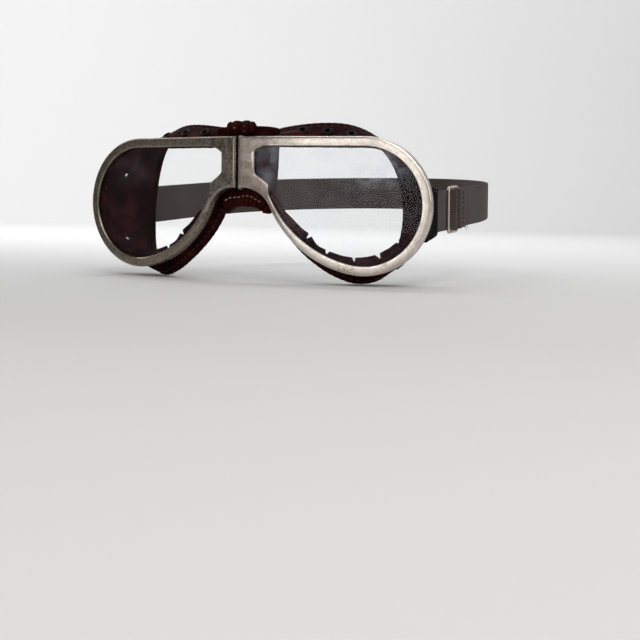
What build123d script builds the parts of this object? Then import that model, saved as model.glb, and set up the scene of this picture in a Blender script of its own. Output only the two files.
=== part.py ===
"""Aviator flying goggles: two teardrop metal rims on a centre hinge, flat lenses,
leather eye cups, a bridge pad and an elastic head strap with a wire slider.

Millimetres. +Z is up, -Y is the front and +X is the wearer's left. The origin is where the
back of the bridge pad meets the face, level with the centres of the lens bowls.
"""

import os
from math import acos, atan2, cos, degrees, radians, sin, sqrt

from build123d import *

# Outline of a rim, seen square on: u runs outward from the hinge edge, v up from the bowl centre
bowl_radius = 30.5
bowl_offset_share = 1.9016
chin_share = 1.705
chin_angle = -101.2
nose_arch_radius = 14.2
hinge_height_share = 0.754
bowl_offset = bowl_offset_share * bowl_radius
chin_radius = chin_share * bowl_radius
hinge_height = hinge_height_share * bowl_radius

# Lens opening in the face of a rim
face_width = 4.3
opening_radius = bowl_radius - face_width
nose_face_width = 2.07
hinge_plate_width = 7.8
opening_side_share = 0.466
opening_side_height = opening_side_share * opening_radius
opening_step_share = 0.2164
opening_step_width = opening_step_share * bowl_radius
opening_step_drop = 4.6
opening_corner_radius = 2.7

# Section of a rim: a pressed channel, open at the back
rim_depth = 4.6
rim_wall = 0.9
rim_edge_radius = 1.6
opening_bevel = 0.35
hinge_bar_width = 2.8
hinge_bar_depth = 3.3

# How the two halves stand
sweep_angle = 8.9
hinge_gap = 0.7
bridge_depth = 14.0

# Lens and the ring that holds it
lens_thickness = 1.8
lens_clearance = 0.25
ring_width = 1.2
ring_depth = 3.1
ring_edge_radius = 0.4

# Hinge
pin_radius = 0.8
pin_clearance = 0.05
pin_cap_radius = 1.35
pin_cap_height = 0.8
knuckle_radius = 1.5
knuckle_count = 5
knuckle_gap = 0.15
leaf_thickness = 1.1
leaf_clearance = 0.25

# Leather cup: the outline of each section, by its depth behind the front of the rim
leather_thickness = 1.2
lining_thickness = 0.7
ply_gap = 0.05
neck_depth = 7.0
flare_depth = 14.5
flare_growth = 2.1
flare_shift = 6.2
flare_bowl_drop = 1.2
flare_top_radius = 82.0
flare_top_angle = 66.0
flare_chin_share = 1.227
flare_nose_radius = 14.0
flare_nose_height = 12.0
flare_nose_angle = 33.6
flare_bowl_radius = bowl_radius + flare_growth
flare_bowl_offset = bowl_offset - flare_shift
back_depth = 31.0
back_growth = 0.5
back_shift = 21.0
back_top_radius = 80.0
back_chin_share = 1.0645
back_nose_radius = 14.0
back_nose_height = 14.0
back_nose_angle = 25.8
back_bowl_radius = bowl_radius + back_growth
back_bowl_offset = bowl_offset - back_shift

# The face that the cups rest on, and the padded roll round the edge of each cup
face_radius = 86.5
face_side = 8.3
face_depth = 16.2
face_tilt_angle = -5.0
face_tilt_height = -6.0
roll_depth = 3.0
roll_outside = 0.7
roll_inside = 0.7

# Notched hem of the lining, seen through the lens
hem_margin = 0.6
hem_reach_out = 3.4
hem_reach_down = 3.8
hem_notch_width = 1.7
hem_notch_depth = 2.3
hem_bowl_notches = (-92.0, -68.0, -45.0, -22.0, 2.0)
hem_chin_notches = (-110.0, -122.0)

# Vent eyelets in the cup wall
eyelet_radius = 2.4
eyelet_hole_radius = 1.15
eyelet_flange = 0.7
eyelet_barrel_radius = 1.6
eyelet_top_depth = 11.5
eyelet_temple_depth = 15.5
eyelet_top_offsets = (27.0, 38.5, 49.5)
eyelet_temple_angles = (29.0, -31.0, -50.0)
eyelet_lift = 0.1
eyelet_clearance = 0.05
eyelet_reach = 2.6

# Nose piece between the cups, arched over the nose, and the gathered roll on top of it
pad_clearance = 0.3
pad_front_depth = 6.9
pad_half_width = 12.0
pad_rise = 5.0
pad_arch_radius = 12.0
pad_arch_drop = 6.0
pad_skirt = 5.0
pad_hollow_radius = 16.0
pad_hollow_depth = 1.6
gather_radius = 3.1
gather_end_radius = 2.3
gather_half_width = 7.0
gather_count = 3
gather_groove = 0.5
gather_depth = 5.2
gather_rise = 4.0

# Head strap
strap_width = 18.8
strap_thickness = 1.4
strap_inset = 7.5
strap_start_depth = 38.0
strap_height = -2.0
strap_rise_angle = 3.6
strap_straight = 68.0
head_half_length = 98.0
strap_tail_length = 72.0
strap_clearance = 0.15
strap_joint_gap = 0.3

# Strap tab, sewn to the temple side of each cup
tab_length = 15.0
tab_front_width = 25.0
tab_end_width = 21.0
tab_ply = 1.1
tab_slot_depth = 6.5
tab_corner_radius = 2.0

# Slider: a flat wire frame with three bars
slider_front = 16.0
slider_pitch = 6.5
slider_wire_radius = 0.65
slider_inner_width = 19.4
slider_corner_radius = 1.6
sewn_end_length = 11.0
weave_shares = (0.42, 0.85, 1.15, 1.72)
fold_share = 0.98
slider_bevel_share = 0.58

# How far cuts reach beyond a piece, and a length greater than any piece that is cut
cut_overrun = 5.0
cut_reach = 90.0

# Places worked out from the sizes above
lens_sweep = radians(sweep_angle)
strap_rise = radians(strap_rise_angle)
lens_plane = Plane(
    origin=(hinge_gap, -bridge_depth, 0),
    x_dir=(cos(lens_sweep), sin(lens_sweep), 0),
    z_dir=(sin(lens_sweep), -cos(lens_sweep), 0),
)
hinge_bottom = bowl_radius - hinge_height
bowl_centre = Vector(bowl_offset, 0)
chin_way = Vector(cos(radians(chin_angle)), sin(radians(chin_angle)))
pad_top = bowl_radius + pad_rise
pad_arch_top = hinge_bottom - pad_arch_drop
gather_height = bowl_radius + gather_rise
strap_side = bowl_offset + bowl_radius - strap_inset
hinge_axis_y = rim_depth - bridge_depth
pocket_inset = rim_wall + lens_clearance
pocket_side = hinge_bar_width + lens_clearance
hem_front = rim_wall + lens_thickness
ring_front = hem_front + lining_thickness
neck_inset = pocket_inset + ring_width + ply_gap
neck_side = pocket_side + ring_width + ply_gap
lining_inset = leather_thickness + ply_gap
total_inset = lining_inset + lining_thickness
strap_plane = Plane(
    origin=(0, strap_start_depth - bridge_depth, strap_height),
    x_dir=(1, 0, 0),
    z_dir=(0, -sin(strap_rise), cos(strap_rise)),
)
side_plane = Plane(strap_plane.origin, x_dir=strap_plane.y_dir, z_dir=(1, 0, 0))
slot_gap = strap_thickness + 2 * strap_clearance
tab_thickness = 2 * tab_ply + slot_gap


def nose_centre(centre, radius, chin, nose, nose_top):
    """Centre of a hollow nose arc that is tangent to an outline's chin arc."""
    chin_centre = centre - chin_way * (chin - radius)
    drop = chin_centre.Y - (nose_top - nose)
    return Vector(chin_centre.X - sqrt((chin + nose) ** 2 - drop**2), nose_top - nose)


# The opening's chin arc leaves a set width of face to the hollow over the nose
nose_arm = bowl_centre - nose_centre(
    bowl_centre, bowl_radius, chin_radius, nose_arch_radius, hinge_bottom
)
nose_reach = opening_radius + nose_arch_radius + nose_face_width
chin_growth = (nose_arm.dot(nose_arm) - nose_reach**2) / (2 * (nose_reach + chin_way.dot(nose_arm)))
opening_chin_radius = opening_radius + chin_growth


def tear_outline(
    bowl, radius, chin, nose, nose_top, inset, side=None, end=None, top=None, mode=Mode.ADD
):
    """Draw the closed teardrop face of a rim, a ring or a section of a cup.

    Args:
        bowl: centre of the round end, as (u, v).
        radius: radius of the round end.
        chin: radius of the long arc below, tangent to the round end.
        nose: radius of the hollow arc over the nose, tangent to the chin arc.
        nose_top: height of the top of the nose arc.
        inset: how far inside these sizes the outline is drawn.
        side: u of the straight edge by the hinge, or None where the nose arc's end gives it.
        end: angle where the nose arc ends, for an outline with no side of its own.
        top: (radius, angle) of an arched top edge, or None for a straight one.
        mode: how the face joins the sketch.
    """
    centre = Vector(*bowl)
    chin_centre = centre - chin_way * (chin - radius)
    hollow = nose_centre(centre, radius, chin, nose, nose_top)
    toward_nose = degrees(atan2(hollow.Y - chin_centre.Y, hollow.X - chin_centre.X)) % 360 - 360
    nose_radius = nose + inset
    side_u = inset + (hollow.X + nose * cos(radians(end)) if side is None else side)
    nose_end = degrees(acos(max(side_u - hollow.X, 0) / nose_radius))
    top_angle = 90 if top is None else top[1]
    with BuildLine() as line:
        CenterArc(centre, radius - inset, chin_angle, top_angle - chin_angle)
        CenterArc(chin_centre, chin - inset, chin_angle, toward_nose - chin_angle)
        nose_start = toward_nose + 180
        nose_arc = CenterArc(hollow, nose_radius, nose_start, nose_end - nose_start)
        low_corner = Vector(side_u, (nose_arc @ 1).Y)
        if side_u < hollow.X:
            Line(nose_arc @ 1, low_corner)
        if top is None:
            high_corner = Vector(side_u, centre.Y + radius - inset)
            Line(high_corner, (centre.X, high_corner.Y))
        else:
            high = Vector(cos(radians(top_angle)), sin(radians(top_angle)))
            top_centre = centre - high * (top[0] - radius)
            top_end = degrees(acos((side_u - top_centre.X) / (top[0] - inset)))
            top_arc = CenterArc(top_centre, top[0] - inset, top_angle, top_end - top_angle)
            high_corner = top_arc @ 1
        Line(low_corner, high_corner)
    make_face(line.edges(), mode=mode)


def rim_outline(inset, side, mode=Mode.ADD):
    """Draw the rim's outline, set in by an amount, with its straight edge at side."""
    tear_outline(
        bowl_centre,
        bowl_radius,
        chin_radius,
        nose_arch_radius,
        hinge_bottom,
        inset,
        side=side - inset,
        mode=mode,
    )


def opening_outline(inset, shift=(0, 0), mode=Mode.ADD):
    """Draw the lens opening: round bowl, long chin arc and a step beside the hinge plate.

    Args:
        inset: how far inside the opening's own edge the outline is drawn.
        shift: how far the whole outline is moved, as (u, v).
        mode: how the face joins the sketch.
    """
    radius = opening_radius
    chin_centre = bowl_centre - chin_way * (opening_chin_radius - radius)
    chin = opening_chin_radius - inset
    side_u = hinge_plate_width + inset
    step_u = side_u + opening_step_width
    side_v = radius - opening_side_height
    chin_end = -degrees(acos((step_u - chin_centre.X) / chin))
    with BuildLine() as line:
        CenterArc(bowl_centre, radius - inset, chin_angle, 90 - chin_angle)
        chin_arc = CenterArc(chin_centre, chin, chin_angle, chin_end - chin_angle)
        Polyline(
            chin_arc @ 1,
            (step_u, side_v - opening_step_drop),
            (side_u, side_v),
            (side_u, radius - inset),
            (bowl_centre.X, radius - inset),
        )
    opening = make_face(line.edges(), mode=Mode.PRIVATE)
    near = opening.vertices().sort_by(Axis.X)[:4].sort_by(Axis.Y)[1:]
    rounded = opening.face().fillet_2d(opening_corner_radius, near)
    add(rounded.moved(Location((*shift, 0))), mode=mode)


def back_plane(depth):
    """Plane parallel to the lens, at a depth behind the front of the rim."""
    return lens_plane.offset(-depth)


def cup_form(inset, mode=Mode.ADD):
    """Loft the flaring form of a cup, set in by an amount, from its neck to beyond the face."""
    with BuildSketch(back_plane(neck_depth)) as neck:
        rim_outline(neck_inset + inset, neck_side + inset)
    with BuildSketch(back_plane(flare_depth)) as flare:
        tear_outline(
            (flare_bowl_offset, -flare_bowl_drop),
            flare_bowl_radius,
            flare_chin_share * flare_bowl_radius,
            flare_nose_radius,
            flare_nose_height,
            inset,
            end=flare_nose_angle,
            top=(flare_top_radius, flare_top_angle),
        )
    with BuildSketch(back_plane(back_depth)) as back:
        tear_outline(
            (back_bowl_offset, -flare_bowl_drop),
            back_bowl_radius,
            back_chin_share * back_bowl_radius,
            back_nose_radius,
            back_nose_height,
            inset,
            end=back_nose_angle,
            top=(back_top_radius, flare_top_angle),
        )
    loft([neck.sketch, flare.sketch, back.sketch], mode=mode)


def face_form(extra, mode):
    """The round form of the face behind one eye, leaning back, grown by an extra amount."""
    level = Plane.XY.offset(face_tilt_height).rotated((face_tilt_angle, 0, 0))
    with BuildSketch(level) as round_face:
        with Locations((face_side, face_depth + face_radius - bridge_depth)):
            Circle(face_radius + extra)
    extrude(round_face.sketch, amount=cut_reach, both=True, mode=mode)


def hem_notches():
    """Cut the V notches that let the turned-in hem lie flat round the curves."""
    centre = bowl_centre + Vector(-hem_reach_out, hem_reach_down)
    chin_centre = centre - chin_way * (opening_chin_radius - opening_radius)
    places = [(centre, opening_radius, angle) for angle in hem_bowl_notches]
    places += [(chin_centre, opening_chin_radius, angle) for angle in hem_chin_notches]
    for centre, edge, angle in places:
        tip = edge + hem_notch_depth
        mouth = edge - hem_notch_depth
        with BuildSketch(mode=Mode.PRIVATE) as notch:
            with BuildLine() as outline:
                Polyline((tip, 0), (mouth, hem_notch_width), (mouth, -hem_notch_width), close=True)
            make_face(outline.edges())
        place = Location((centre.X, centre.Y, 0), (0, 0, angle))
        add(notch.sketch.located(place), mode=Mode.SUBTRACT)


def eyelet_lines():
    """Lines through the cup wall where the vents are: along the top and at the temple."""
    up = Vector(lens_plane.y_dir)
    lines = []
    for offset in eyelet_top_offsets:
        start = back_plane(eyelet_top_depth).from_local_coords((offset, cut_reach))
        lines.append(Axis(start, -up))
    temple = back_plane(eyelet_temple_depth)
    for angle in eyelet_temple_angles:
        out = temple.x_dir * cos(radians(angle)) + up * sin(radians(angle))
        middle = temple.from_local_coords((flare_bowl_offset, -flare_bowl_drop))
        lines.append(Axis(middle + out * cut_reach, -out))
    return lines


def hinge_cylinder(radius, low, high, mode):
    """A cylinder on the hinge axis, between two heights."""
    with BuildSketch(Plane.XY.offset(low)) as disc:
        with Locations((0, hinge_axis_y)):
            Circle(radius)
    extrude(disc.sketch, amount=high - low, mode=mode)


def hinge_bar(depth, height, thickness, start, end, mode):
    """A bar behind the hinge edge, from a height, between two distances from the hinge edge."""
    low, high = height
    with BuildSketch(back_plane(depth)) as bar:
        with Locations(((start + end) / 2, (low + high) / 2)):
            Rectangle(end - start, high - low)
    extrude(bar.sketch, amount=-thickness, mode=mode)


def set_hand(side):
    """Turn a piece made for the wearer's left into the one for the given side."""
    if side == "right":
        mirror(about=Plane.YZ, mode=Mode.REPLACE)


def write(piece, name):
    """Label a finished piece and write it as one STEP file."""
    piece.part.label = name
    export_step(piece.part, f"parts/{name}.step")


os.makedirs("parts", exist_ok=True)

# Heights of the hinge knuckles, from the bottom up: even ones are the right half's
knuckle_pitch = (hinge_height - 2 * knuckle_gap) / knuckle_count
knuckle_low = hinge_bottom + knuckle_gap
knuckle_length = knuckle_pitch - knuckle_gap
knuckle_starts = [knuckle_low + i * knuckle_pitch + knuckle_gap / 2 for i in range(knuckle_count)]
knuckles = [(start, start + knuckle_length) for start in knuckle_starts]
leaf_heights = (knuckles[0][0], knuckles[-1][1])
leaf_end = hinge_bar_width - leaf_clearance
bar_heights = (hinge_bottom - cut_overrun, bowl_radius + cut_overrun)

for side in ("left", "right"):
    # Rim: face with the lens opening, side wall, and a bar that backs onto the hinge
    with BuildPart() as rim:
        with BuildSketch(lens_plane) as outline:
            rim_outline(0, 0)
        extrude(outline.sketch, amount=-rim_depth)
        front = rim.faces().sort_by(Axis(lens_plane.origin, lens_plane.z_dir))[-1]
        fillet(front.edges(), radius=rim_edge_radius)
        with BuildSketch(back_plane(rim_depth)) as pocket:
            rim_outline(rim_wall, hinge_bar_width)
        extrude(pocket.sketch, amount=rim_depth - rim_wall, mode=Mode.SUBTRACT)
        with BuildSketch(lens_plane) as opening:
            opening_outline(0)
        extrude(opening.sketch, amount=-rim_depth, mode=Mode.SUBTRACT)
        front = rim.faces().sort_by(Axis(lens_plane.origin, lens_plane.z_dir))[-1]
        chamfer(front.inner_wires()[0].edges(), length=opening_bevel)
        cut = rim_depth - hinge_bar_depth + cut_overrun
        hinge_bar(hinge_bar_depth, bar_heights, cut, -cut_overrun, hinge_bar_width, Mode.SUBTRACT)
        hinge_cylinder(knuckle_radius + leaf_clearance, *bar_heights, Mode.SUBTRACT)
        set_hand(side)
    write(rim, f"{side}_rim")

    # Lens: a flat pane behind the face of the rim
    with BuildPart() as lens:
        with BuildSketch(back_plane(rim_wall)) as pane:
            rim_outline(pocket_inset, pocket_side)
        extrude(pane.sketch, amount=-lens_thickness)
        set_hand(side)
    write(lens, f"{side}_lens")

    # Back ring: clamps the hem of the leather against the lens
    with BuildPart() as back_ring:
        with BuildSketch(back_plane(ring_front)) as ring:
            rim_outline(pocket_inset, pocket_side)
            rim_outline(pocket_inset + ring_width, pocket_side + ring_width, Mode.SUBTRACT)
        extrude(ring.sketch, amount=-ring_depth)
        back_face = back_ring.faces().sort_by(Axis(lens_plane.origin, lens_plane.z_dir))[0]
        fillet(back_face.outer_wire().edges(), radius=ring_edge_radius)
        set_hand(side)
    write(back_ring, f"{side}_back_ring")

    # Hinge leaf: a strip brazed behind the hinge bar, with its share of the knuckles
    own = knuckles[1::2] if side == "left" else knuckles[0::2]
    with BuildPart() as hinge_leaf:
        hinge_bar(hinge_bar_depth, leaf_heights, leaf_thickness, 0, leaf_end, Mode.ADD)
        hinge_cylinder(knuckle_radius + leaf_clearance, *bar_heights, Mode.SUBTRACT)
        for knuckle in own:
            hinge_bar(hinge_bar_depth, knuckle, leaf_thickness, 0, leaf_end, Mode.ADD)
            hinge_cylinder(knuckle_radius, *knuckle, Mode.ADD)
        hinge_cylinder(pin_radius + pin_clearance, *bar_heights, Mode.SUBTRACT)
        set_hand(side)
    write(hinge_leaf, f"{side}_hinge_leaf")

    # Cup: the outer leather, with its neck inside the ring, flaring back to the face
    with BuildPart() as cup:
        with BuildSketch(back_plane(ring_front)) as neck:
            rim_outline(neck_inset, neck_side)
            neck_inner = neck_inset + leather_thickness
            rim_outline(neck_inner, neck_side + leather_thickness, Mode.SUBTRACT)
        extrude(neck.sketch, amount=ring_front - neck_depth)
        cup_form(0)
        seats = [cup.part.find_intersection_points(line)[0] for line in eyelet_lines()]
        cup_form(leather_thickness, Mode.SUBTRACT)
        face_form(roll_depth, Mode.SUBTRACT)
        for point, normal in seats:
            with BuildSketch(Plane(point, z_dir=normal)) as vent:
                Circle(eyelet_barrel_radius + eyelet_clearance)
            extrude(vent.sketch, amount=eyelet_reach, both=True, mode=Mode.SUBTRACT)
        set_hand(side)
    write(cup, f"{side}_cup")

    # Lining: a thinner leather inside the cup, turned in as a notched hem behind the lens
    with BuildPart() as lining:
        with BuildSketch(back_plane(hem_front)) as hem:
            rim_outline(pocket_inset, pocket_side)
            with BuildSketch(mode=Mode.PRIVATE) as inside:
                opening_outline(hem_margin)
                opening_outline(0, (-hem_reach_out, hem_reach_down), Mode.INTERSECT)
            add(inside.sketch, mode=Mode.SUBTRACT)
            hem_notches()
        extrude(hem.sketch, amount=-lining_thickness)
        with BuildSketch(back_plane(hem_front)) as neck:
            rim_outline(neck_inset + lining_inset, neck_side + lining_inset)
            rim_outline(neck_inset + total_inset, neck_side + total_inset, Mode.SUBTRACT)
        extrude(neck.sketch, amount=hem_front - neck_depth)
        cup_form(lining_inset)
        cup_form(total_inset, Mode.SUBTRACT)
        face_form(roll_depth, Mode.SUBTRACT)
        for point, normal in seats:
            with BuildSketch(Plane(point, z_dir=normal)) as vent:
                Circle(eyelet_barrel_radius + eyelet_clearance)
            extrude(vent.sketch, amount=eyelet_reach, both=True, mode=Mode.SUBTRACT)
        set_hand(side)
    write(lining, f"{side}_lining")

    # Edge roll: the padded binding that lies on the face
    with BuildPart() as edge_roll:
        cup_form(-roll_outside)
        face_form(roll_depth, Mode.INTERSECT)
        cup_form(total_inset + roll_inside, Mode.SUBTRACT)
        face_form(0, Mode.SUBTRACT)
        set_hand(side)
    write(edge_roll, f"{side}_edge_roll")

    # Vent eyelets: flanged rings through both leathers
    with BuildPart() as eyelets:
        for point, normal in seats:
            with BuildSketch(Plane(point + normal * eyelet_lift, z_dir=normal)) as flange:
                Circle(eyelet_radius)
            extrude(flange.sketch, amount=eyelet_flange)
            with BuildSketch(Plane(point + normal * eyelet_lift, z_dir=normal)) as barrel:
                Circle(eyelet_barrel_radius)
            extrude(barrel.sketch, amount=-eyelet_reach)
            with BuildSketch(Plane(point, z_dir=normal)) as hole:
                Circle(eyelet_hole_radius)
            extrude(hole.sketch, amount=eyelet_reach + cut_overrun, both=True, mode=Mode.SUBTRACT)
        set_hand(side)
    write(eyelets, f"{side}_vent_eyelets")

    # Strap tab: two plies of leather from the temple side of the cup, holding the strap's end
    with BuildPart() as tab:
        with BuildSketch(side_plane.offset(strap_side - tab_thickness / 2)) as flat:
            with BuildLine() as edge:
                Polyline(
                    (0, tab_end_width / 2),
                    (-tab_length, tab_front_width / 2),
                    (-tab_length, -tab_front_width / 2),
                    (0, -tab_end_width / 2),
                    close=True,
                )
            make_face(edge.edges())
            fillet(flat.vertices().group_by(Axis.X)[-1], radius=tab_corner_radius)
        extrude(flat.sketch, amount=tab_thickness)
        with BuildSketch(side_plane.offset(strap_side - slot_gap / 2)) as slot:
            Rectangle(2 * tab_slot_depth, strap_width + 2 * strap_clearance)
        extrude(slot.sketch, amount=slot_gap, mode=Mode.SUBTRACT)
        cup_form(-ply_gap, Mode.SUBTRACT)
        set_hand(side)
    write(tab, f"{side}_strap_tab")

# Hinge pin: a rod through the knuckles with a domed cap at each end
with BuildPart() as hinge_pin:
    with BuildSketch(Plane.XZ.offset(-hinge_axis_y)) as half_pin:
        cap_low = hinge_bottom - pin_cap_height
        cap_high = bowl_radius + pin_cap_height
        with BuildLine() as edge:
            Polyline(
                (0, cap_low),
                (pin_cap_radius / 2, cap_low),
                (pin_cap_radius, cap_low + pin_cap_height / 2),
                (pin_cap_radius, hinge_bottom),
                (pin_radius, hinge_bottom),
                (pin_radius, bowl_radius),
                (pin_cap_radius, bowl_radius),
                (pin_cap_radius, cap_high - pin_cap_height / 2),
                (pin_cap_radius / 2, cap_high),
                (0, cap_high),
                close=True,
            )
        make_face(edge.edges())
    revolve(half_pin.sketch, axis=Axis((0, hinge_axis_y, 0), (0, 0, 1)))
write(hinge_pin, "hinge_pin")

# Gathered roll on top of the bridge: a barrel drawn in by bindings
gather_axis = Axis((0, gather_depth - bridge_depth, gather_height), (1, 0, 0))
with BuildPart() as gather:
    with BuildSketch(Plane.XZ.offset(bridge_depth - gather_depth)) as half_gather:
        pitch = 2 * gather_half_width / gather_count
        with BuildLine() as edge:
            start = Vector(-gather_half_width, gather_height + gather_end_radius)
            Line((start.X, gather_height), start)
            for i in range(gather_count):
                end_x = -gather_half_width + (i + 1) * pitch
                middle = abs(end_x - pitch / 2) / gather_half_width
                last = i == gather_count - 1
                end_radius = gather_end_radius if last else gather_radius - gather_groove
                end = Vector(end_x, gather_height + end_radius)
                crown = gather_radius - (gather_radius - gather_end_radius) * middle**2 / 2
                ThreePointArc(start, (end_x - pitch / 2, gather_height + crown), end)
                start = end
            Line(start, (start.X, gather_height))
            Line((start.X, gather_height), (-gather_half_width, gather_height))
        make_face(edge.edges())
    revolve(half_gather.sketch, axis=gather_axis)
write(gather, "bridge_roll")

# Nose piece: the leather between the cups, behind the hinge, arched over the nose
with BuildPart() as nose_piece:
    pad_depth = bridge_depth - pad_front_depth
    with BuildSketch(Plane.XY.offset(pad_arch_top - pad_skirt)) as plan:
        with Locations((0, -pad_depth / 2)):
            Rectangle(2 * pad_half_width, pad_depth)
    extrude(plan.sketch, amount=pad_top - pad_arch_top + pad_skirt)
    with BuildSketch(Plane.XZ.offset(-cut_overrun)) as arch:
        with Locations((0, pad_arch_top - pad_arch_radius)):
            Circle(pad_arch_radius)
    extrude(arch.sketch, amount=bridge_depth + cut_overrun, mode=Mode.SUBTRACT)
    with BuildSketch(Plane.XY) as hollow:
        with Locations((0, pad_hollow_radius - pad_hollow_depth)):
            Circle(pad_hollow_radius)
    extrude(hollow.sketch, amount=cut_reach, both=True, mode=Mode.SUBTRACT)
    with BuildSketch(Plane.YZ.offset(-pad_half_width)) as seat:
        with Locations((gather_depth - bridge_depth, gather_height)):
            Circle(gather_radius + ply_gap)
    extrude(seat.sketch, amount=2 * pad_half_width, mode=Mode.SUBTRACT)
    cup_form(-roll_outside - pad_clearance, Mode.SUBTRACT)
    with BuildSketch(back_plane(neck_depth + pad_clearance)) as ring_space:
        with Locations((pocket_side - pad_clearance, 0)):
            Rectangle(2 * pad_half_width, cut_reach, align=(Align.MIN, Align.CENTER))
    extrude(ring_space.sketch, amount=bridge_depth, mode=Mode.SUBTRACT)
    mirror(about=Plane.YZ, mode=Mode.INTERSECT)
write(nose_piece, "nose_piece")


def strap_ribbon(line):
    """Give a line in the strap plane the strap's thickness and width."""
    with BuildSketch(strap_plane) as ribbon:
        trace(line.edges(), line_width=strap_thickness)
    extrude(ribbon.sketch, amount=strap_width / 2, both=True)


layer = strap_thickness + strap_clearance
bar_side = strap_side + strap_thickness / 2 + strap_clearance + slider_wire_radius
outer_side = bar_side + slider_wire_radius + strap_clearance + strap_thickness / 2
tail_side = strap_side - layer
rear_bar = slider_front + 2 * slider_pitch
loop_front = rear_bar - slider_wire_radius - strap_clearance - strap_thickness / 2
wrap_radius = slider_wire_radius + strap_clearance + strap_thickness / 2

# Short strap: from the left tab, under the front bar, over the middle bar, under the rear bar
with BuildPart() as strap_short:
    with BuildLine() as path:
        FilletPolyline(
            (strap_side, -tab_slot_depth + strap_clearance),
            (strap_side, slider_front + weave_shares[0] * slider_pitch),
            (outer_side, slider_front + weave_shares[1] * slider_pitch),
            (outer_side, slider_front + weave_shares[2] * slider_pitch),
            (tail_side, slider_front + weave_shares[3] * slider_pitch),
            (tail_side, strap_tail_length),
            radius=strap_thickness,
        )
    strap_ribbon(path)
write(strap_short, "strap_short")

# Sewn end: the long strap's end, folded round the rear bar with its cut edge outside
with BuildPart() as sewn_end:
    with BuildLine() as path:
        FilletPolyline(
            (strap_side + layer, rear_bar + sewn_end_length),
            (strap_side + layer, rear_bar + sewn_end_length / 2),
            (outer_side, rear_bar + wrap_radius),
            (outer_side, loop_front),
            (strap_side, loop_front),
            (strap_side, rear_bar + sewn_end_length),
            radius=[strap_thickness] * 2 + [wrap_radius * fold_share] * 2,
        )
    strap_ribbon(path)
write(sewn_end, "strap_sewn_end")

# Front of the long strap: the straight stretch behind the slider
front_start = rear_bar + sewn_end_length + strap_joint_gap
with BuildPart() as strap_front:
    with BuildLine() as path:
        Line((strap_side, front_start), (strap_side, strap_straight))
    strap_ribbon(path)
write(strap_front, "strap_front")

# Back of the long strap: round the head to the right tab
with BuildPart() as strap_back:
    with BuildSketch(strap_plane) as band:
        with BuildLine() as edge:
            inner_side = strap_side - strap_thickness / 2
            outer_edge = strap_side + strap_thickness / 2
            inner_length = head_half_length - strap_thickness / 2
            outer_length = head_half_length + strap_thickness / 2
            band_start = strap_straight + strap_joint_gap
            band_end = strap_clearance - tab_slot_depth
            EllipticalCenterArc((0, band_start), outer_edge, outer_length, 0, arc_size=180)
            Line((-outer_edge, band_start), (-outer_edge, band_end))
            Line((-outer_edge, band_end), (-inner_side, band_end))
            Line((-inner_side, band_end), (-inner_side, band_start))
            EllipticalCenterArc((0, band_start), inner_side, inner_length, 0, arc_size=180)
            Line((inner_side, band_start), (outer_edge, band_start))
        make_face(edge.edges())
    extrude(band.sketch, amount=strap_width / 2, both=True)
write(strap_back, "strap_back")

# Slider: a flat wire frame with bevelled edges and a round middle bar
with BuildPart() as slider:
    middle = slider_front + slider_pitch
    wire_width = 2 * slider_wire_radius
    frame_height = slider_inner_width + wire_width
    with BuildSketch(side_plane.offset(bar_side - slider_wire_radius)) as frame:
        with Locations((middle, 0)):
            RectangleRounded(
                2 * slider_pitch + wire_width,
                frame_height + wire_width,
                slider_corner_radius + slider_wire_radius,
            )
            RectangleRounded(
                2 * slider_pitch - wire_width,
                slider_inner_width,
                slider_corner_radius - slider_wire_radius,
                mode=Mode.SUBTRACT,
            )
    extrude(frame.sketch, amount=wire_width)
    flats = slider.faces().filter_by(Axis.X)
    chamfer(flats.edges(), length=slider_bevel_share * slider_wire_radius)
    bar_foot = side_plane.offset(bar_side).from_local_coords((middle, -frame_height / 2))
    with BuildSketch(Plane(bar_foot, z_dir=strap_plane.z_dir)) as bar:
        Circle(slider_wire_radius)
    extrude(bar.sketch, amount=frame_height)
write(slider, "slider")
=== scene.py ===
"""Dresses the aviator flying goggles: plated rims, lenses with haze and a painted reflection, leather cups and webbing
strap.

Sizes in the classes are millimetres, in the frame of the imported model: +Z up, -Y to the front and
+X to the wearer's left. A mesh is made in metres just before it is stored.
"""

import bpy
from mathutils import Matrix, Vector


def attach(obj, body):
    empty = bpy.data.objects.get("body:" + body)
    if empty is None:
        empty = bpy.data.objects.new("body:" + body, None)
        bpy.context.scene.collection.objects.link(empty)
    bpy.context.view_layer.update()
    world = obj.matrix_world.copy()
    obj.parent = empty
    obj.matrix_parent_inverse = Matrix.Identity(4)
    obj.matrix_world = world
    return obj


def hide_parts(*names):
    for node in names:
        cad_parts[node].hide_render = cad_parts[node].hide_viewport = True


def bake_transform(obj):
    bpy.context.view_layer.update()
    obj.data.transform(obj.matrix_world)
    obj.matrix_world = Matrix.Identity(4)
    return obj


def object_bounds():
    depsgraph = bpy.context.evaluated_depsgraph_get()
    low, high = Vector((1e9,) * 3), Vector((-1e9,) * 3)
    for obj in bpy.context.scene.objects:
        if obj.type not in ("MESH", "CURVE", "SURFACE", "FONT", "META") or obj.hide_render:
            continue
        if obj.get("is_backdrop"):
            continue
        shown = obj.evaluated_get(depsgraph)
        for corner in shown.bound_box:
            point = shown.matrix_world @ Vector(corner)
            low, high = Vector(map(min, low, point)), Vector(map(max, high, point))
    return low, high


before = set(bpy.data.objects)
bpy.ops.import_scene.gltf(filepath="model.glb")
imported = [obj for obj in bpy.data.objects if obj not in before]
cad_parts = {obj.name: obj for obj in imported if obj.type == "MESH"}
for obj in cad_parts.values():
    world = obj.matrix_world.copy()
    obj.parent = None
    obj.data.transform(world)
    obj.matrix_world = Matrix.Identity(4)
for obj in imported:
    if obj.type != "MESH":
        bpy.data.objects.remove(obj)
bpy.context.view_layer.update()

import logging
import math
from collections.abc import Sequence
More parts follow.
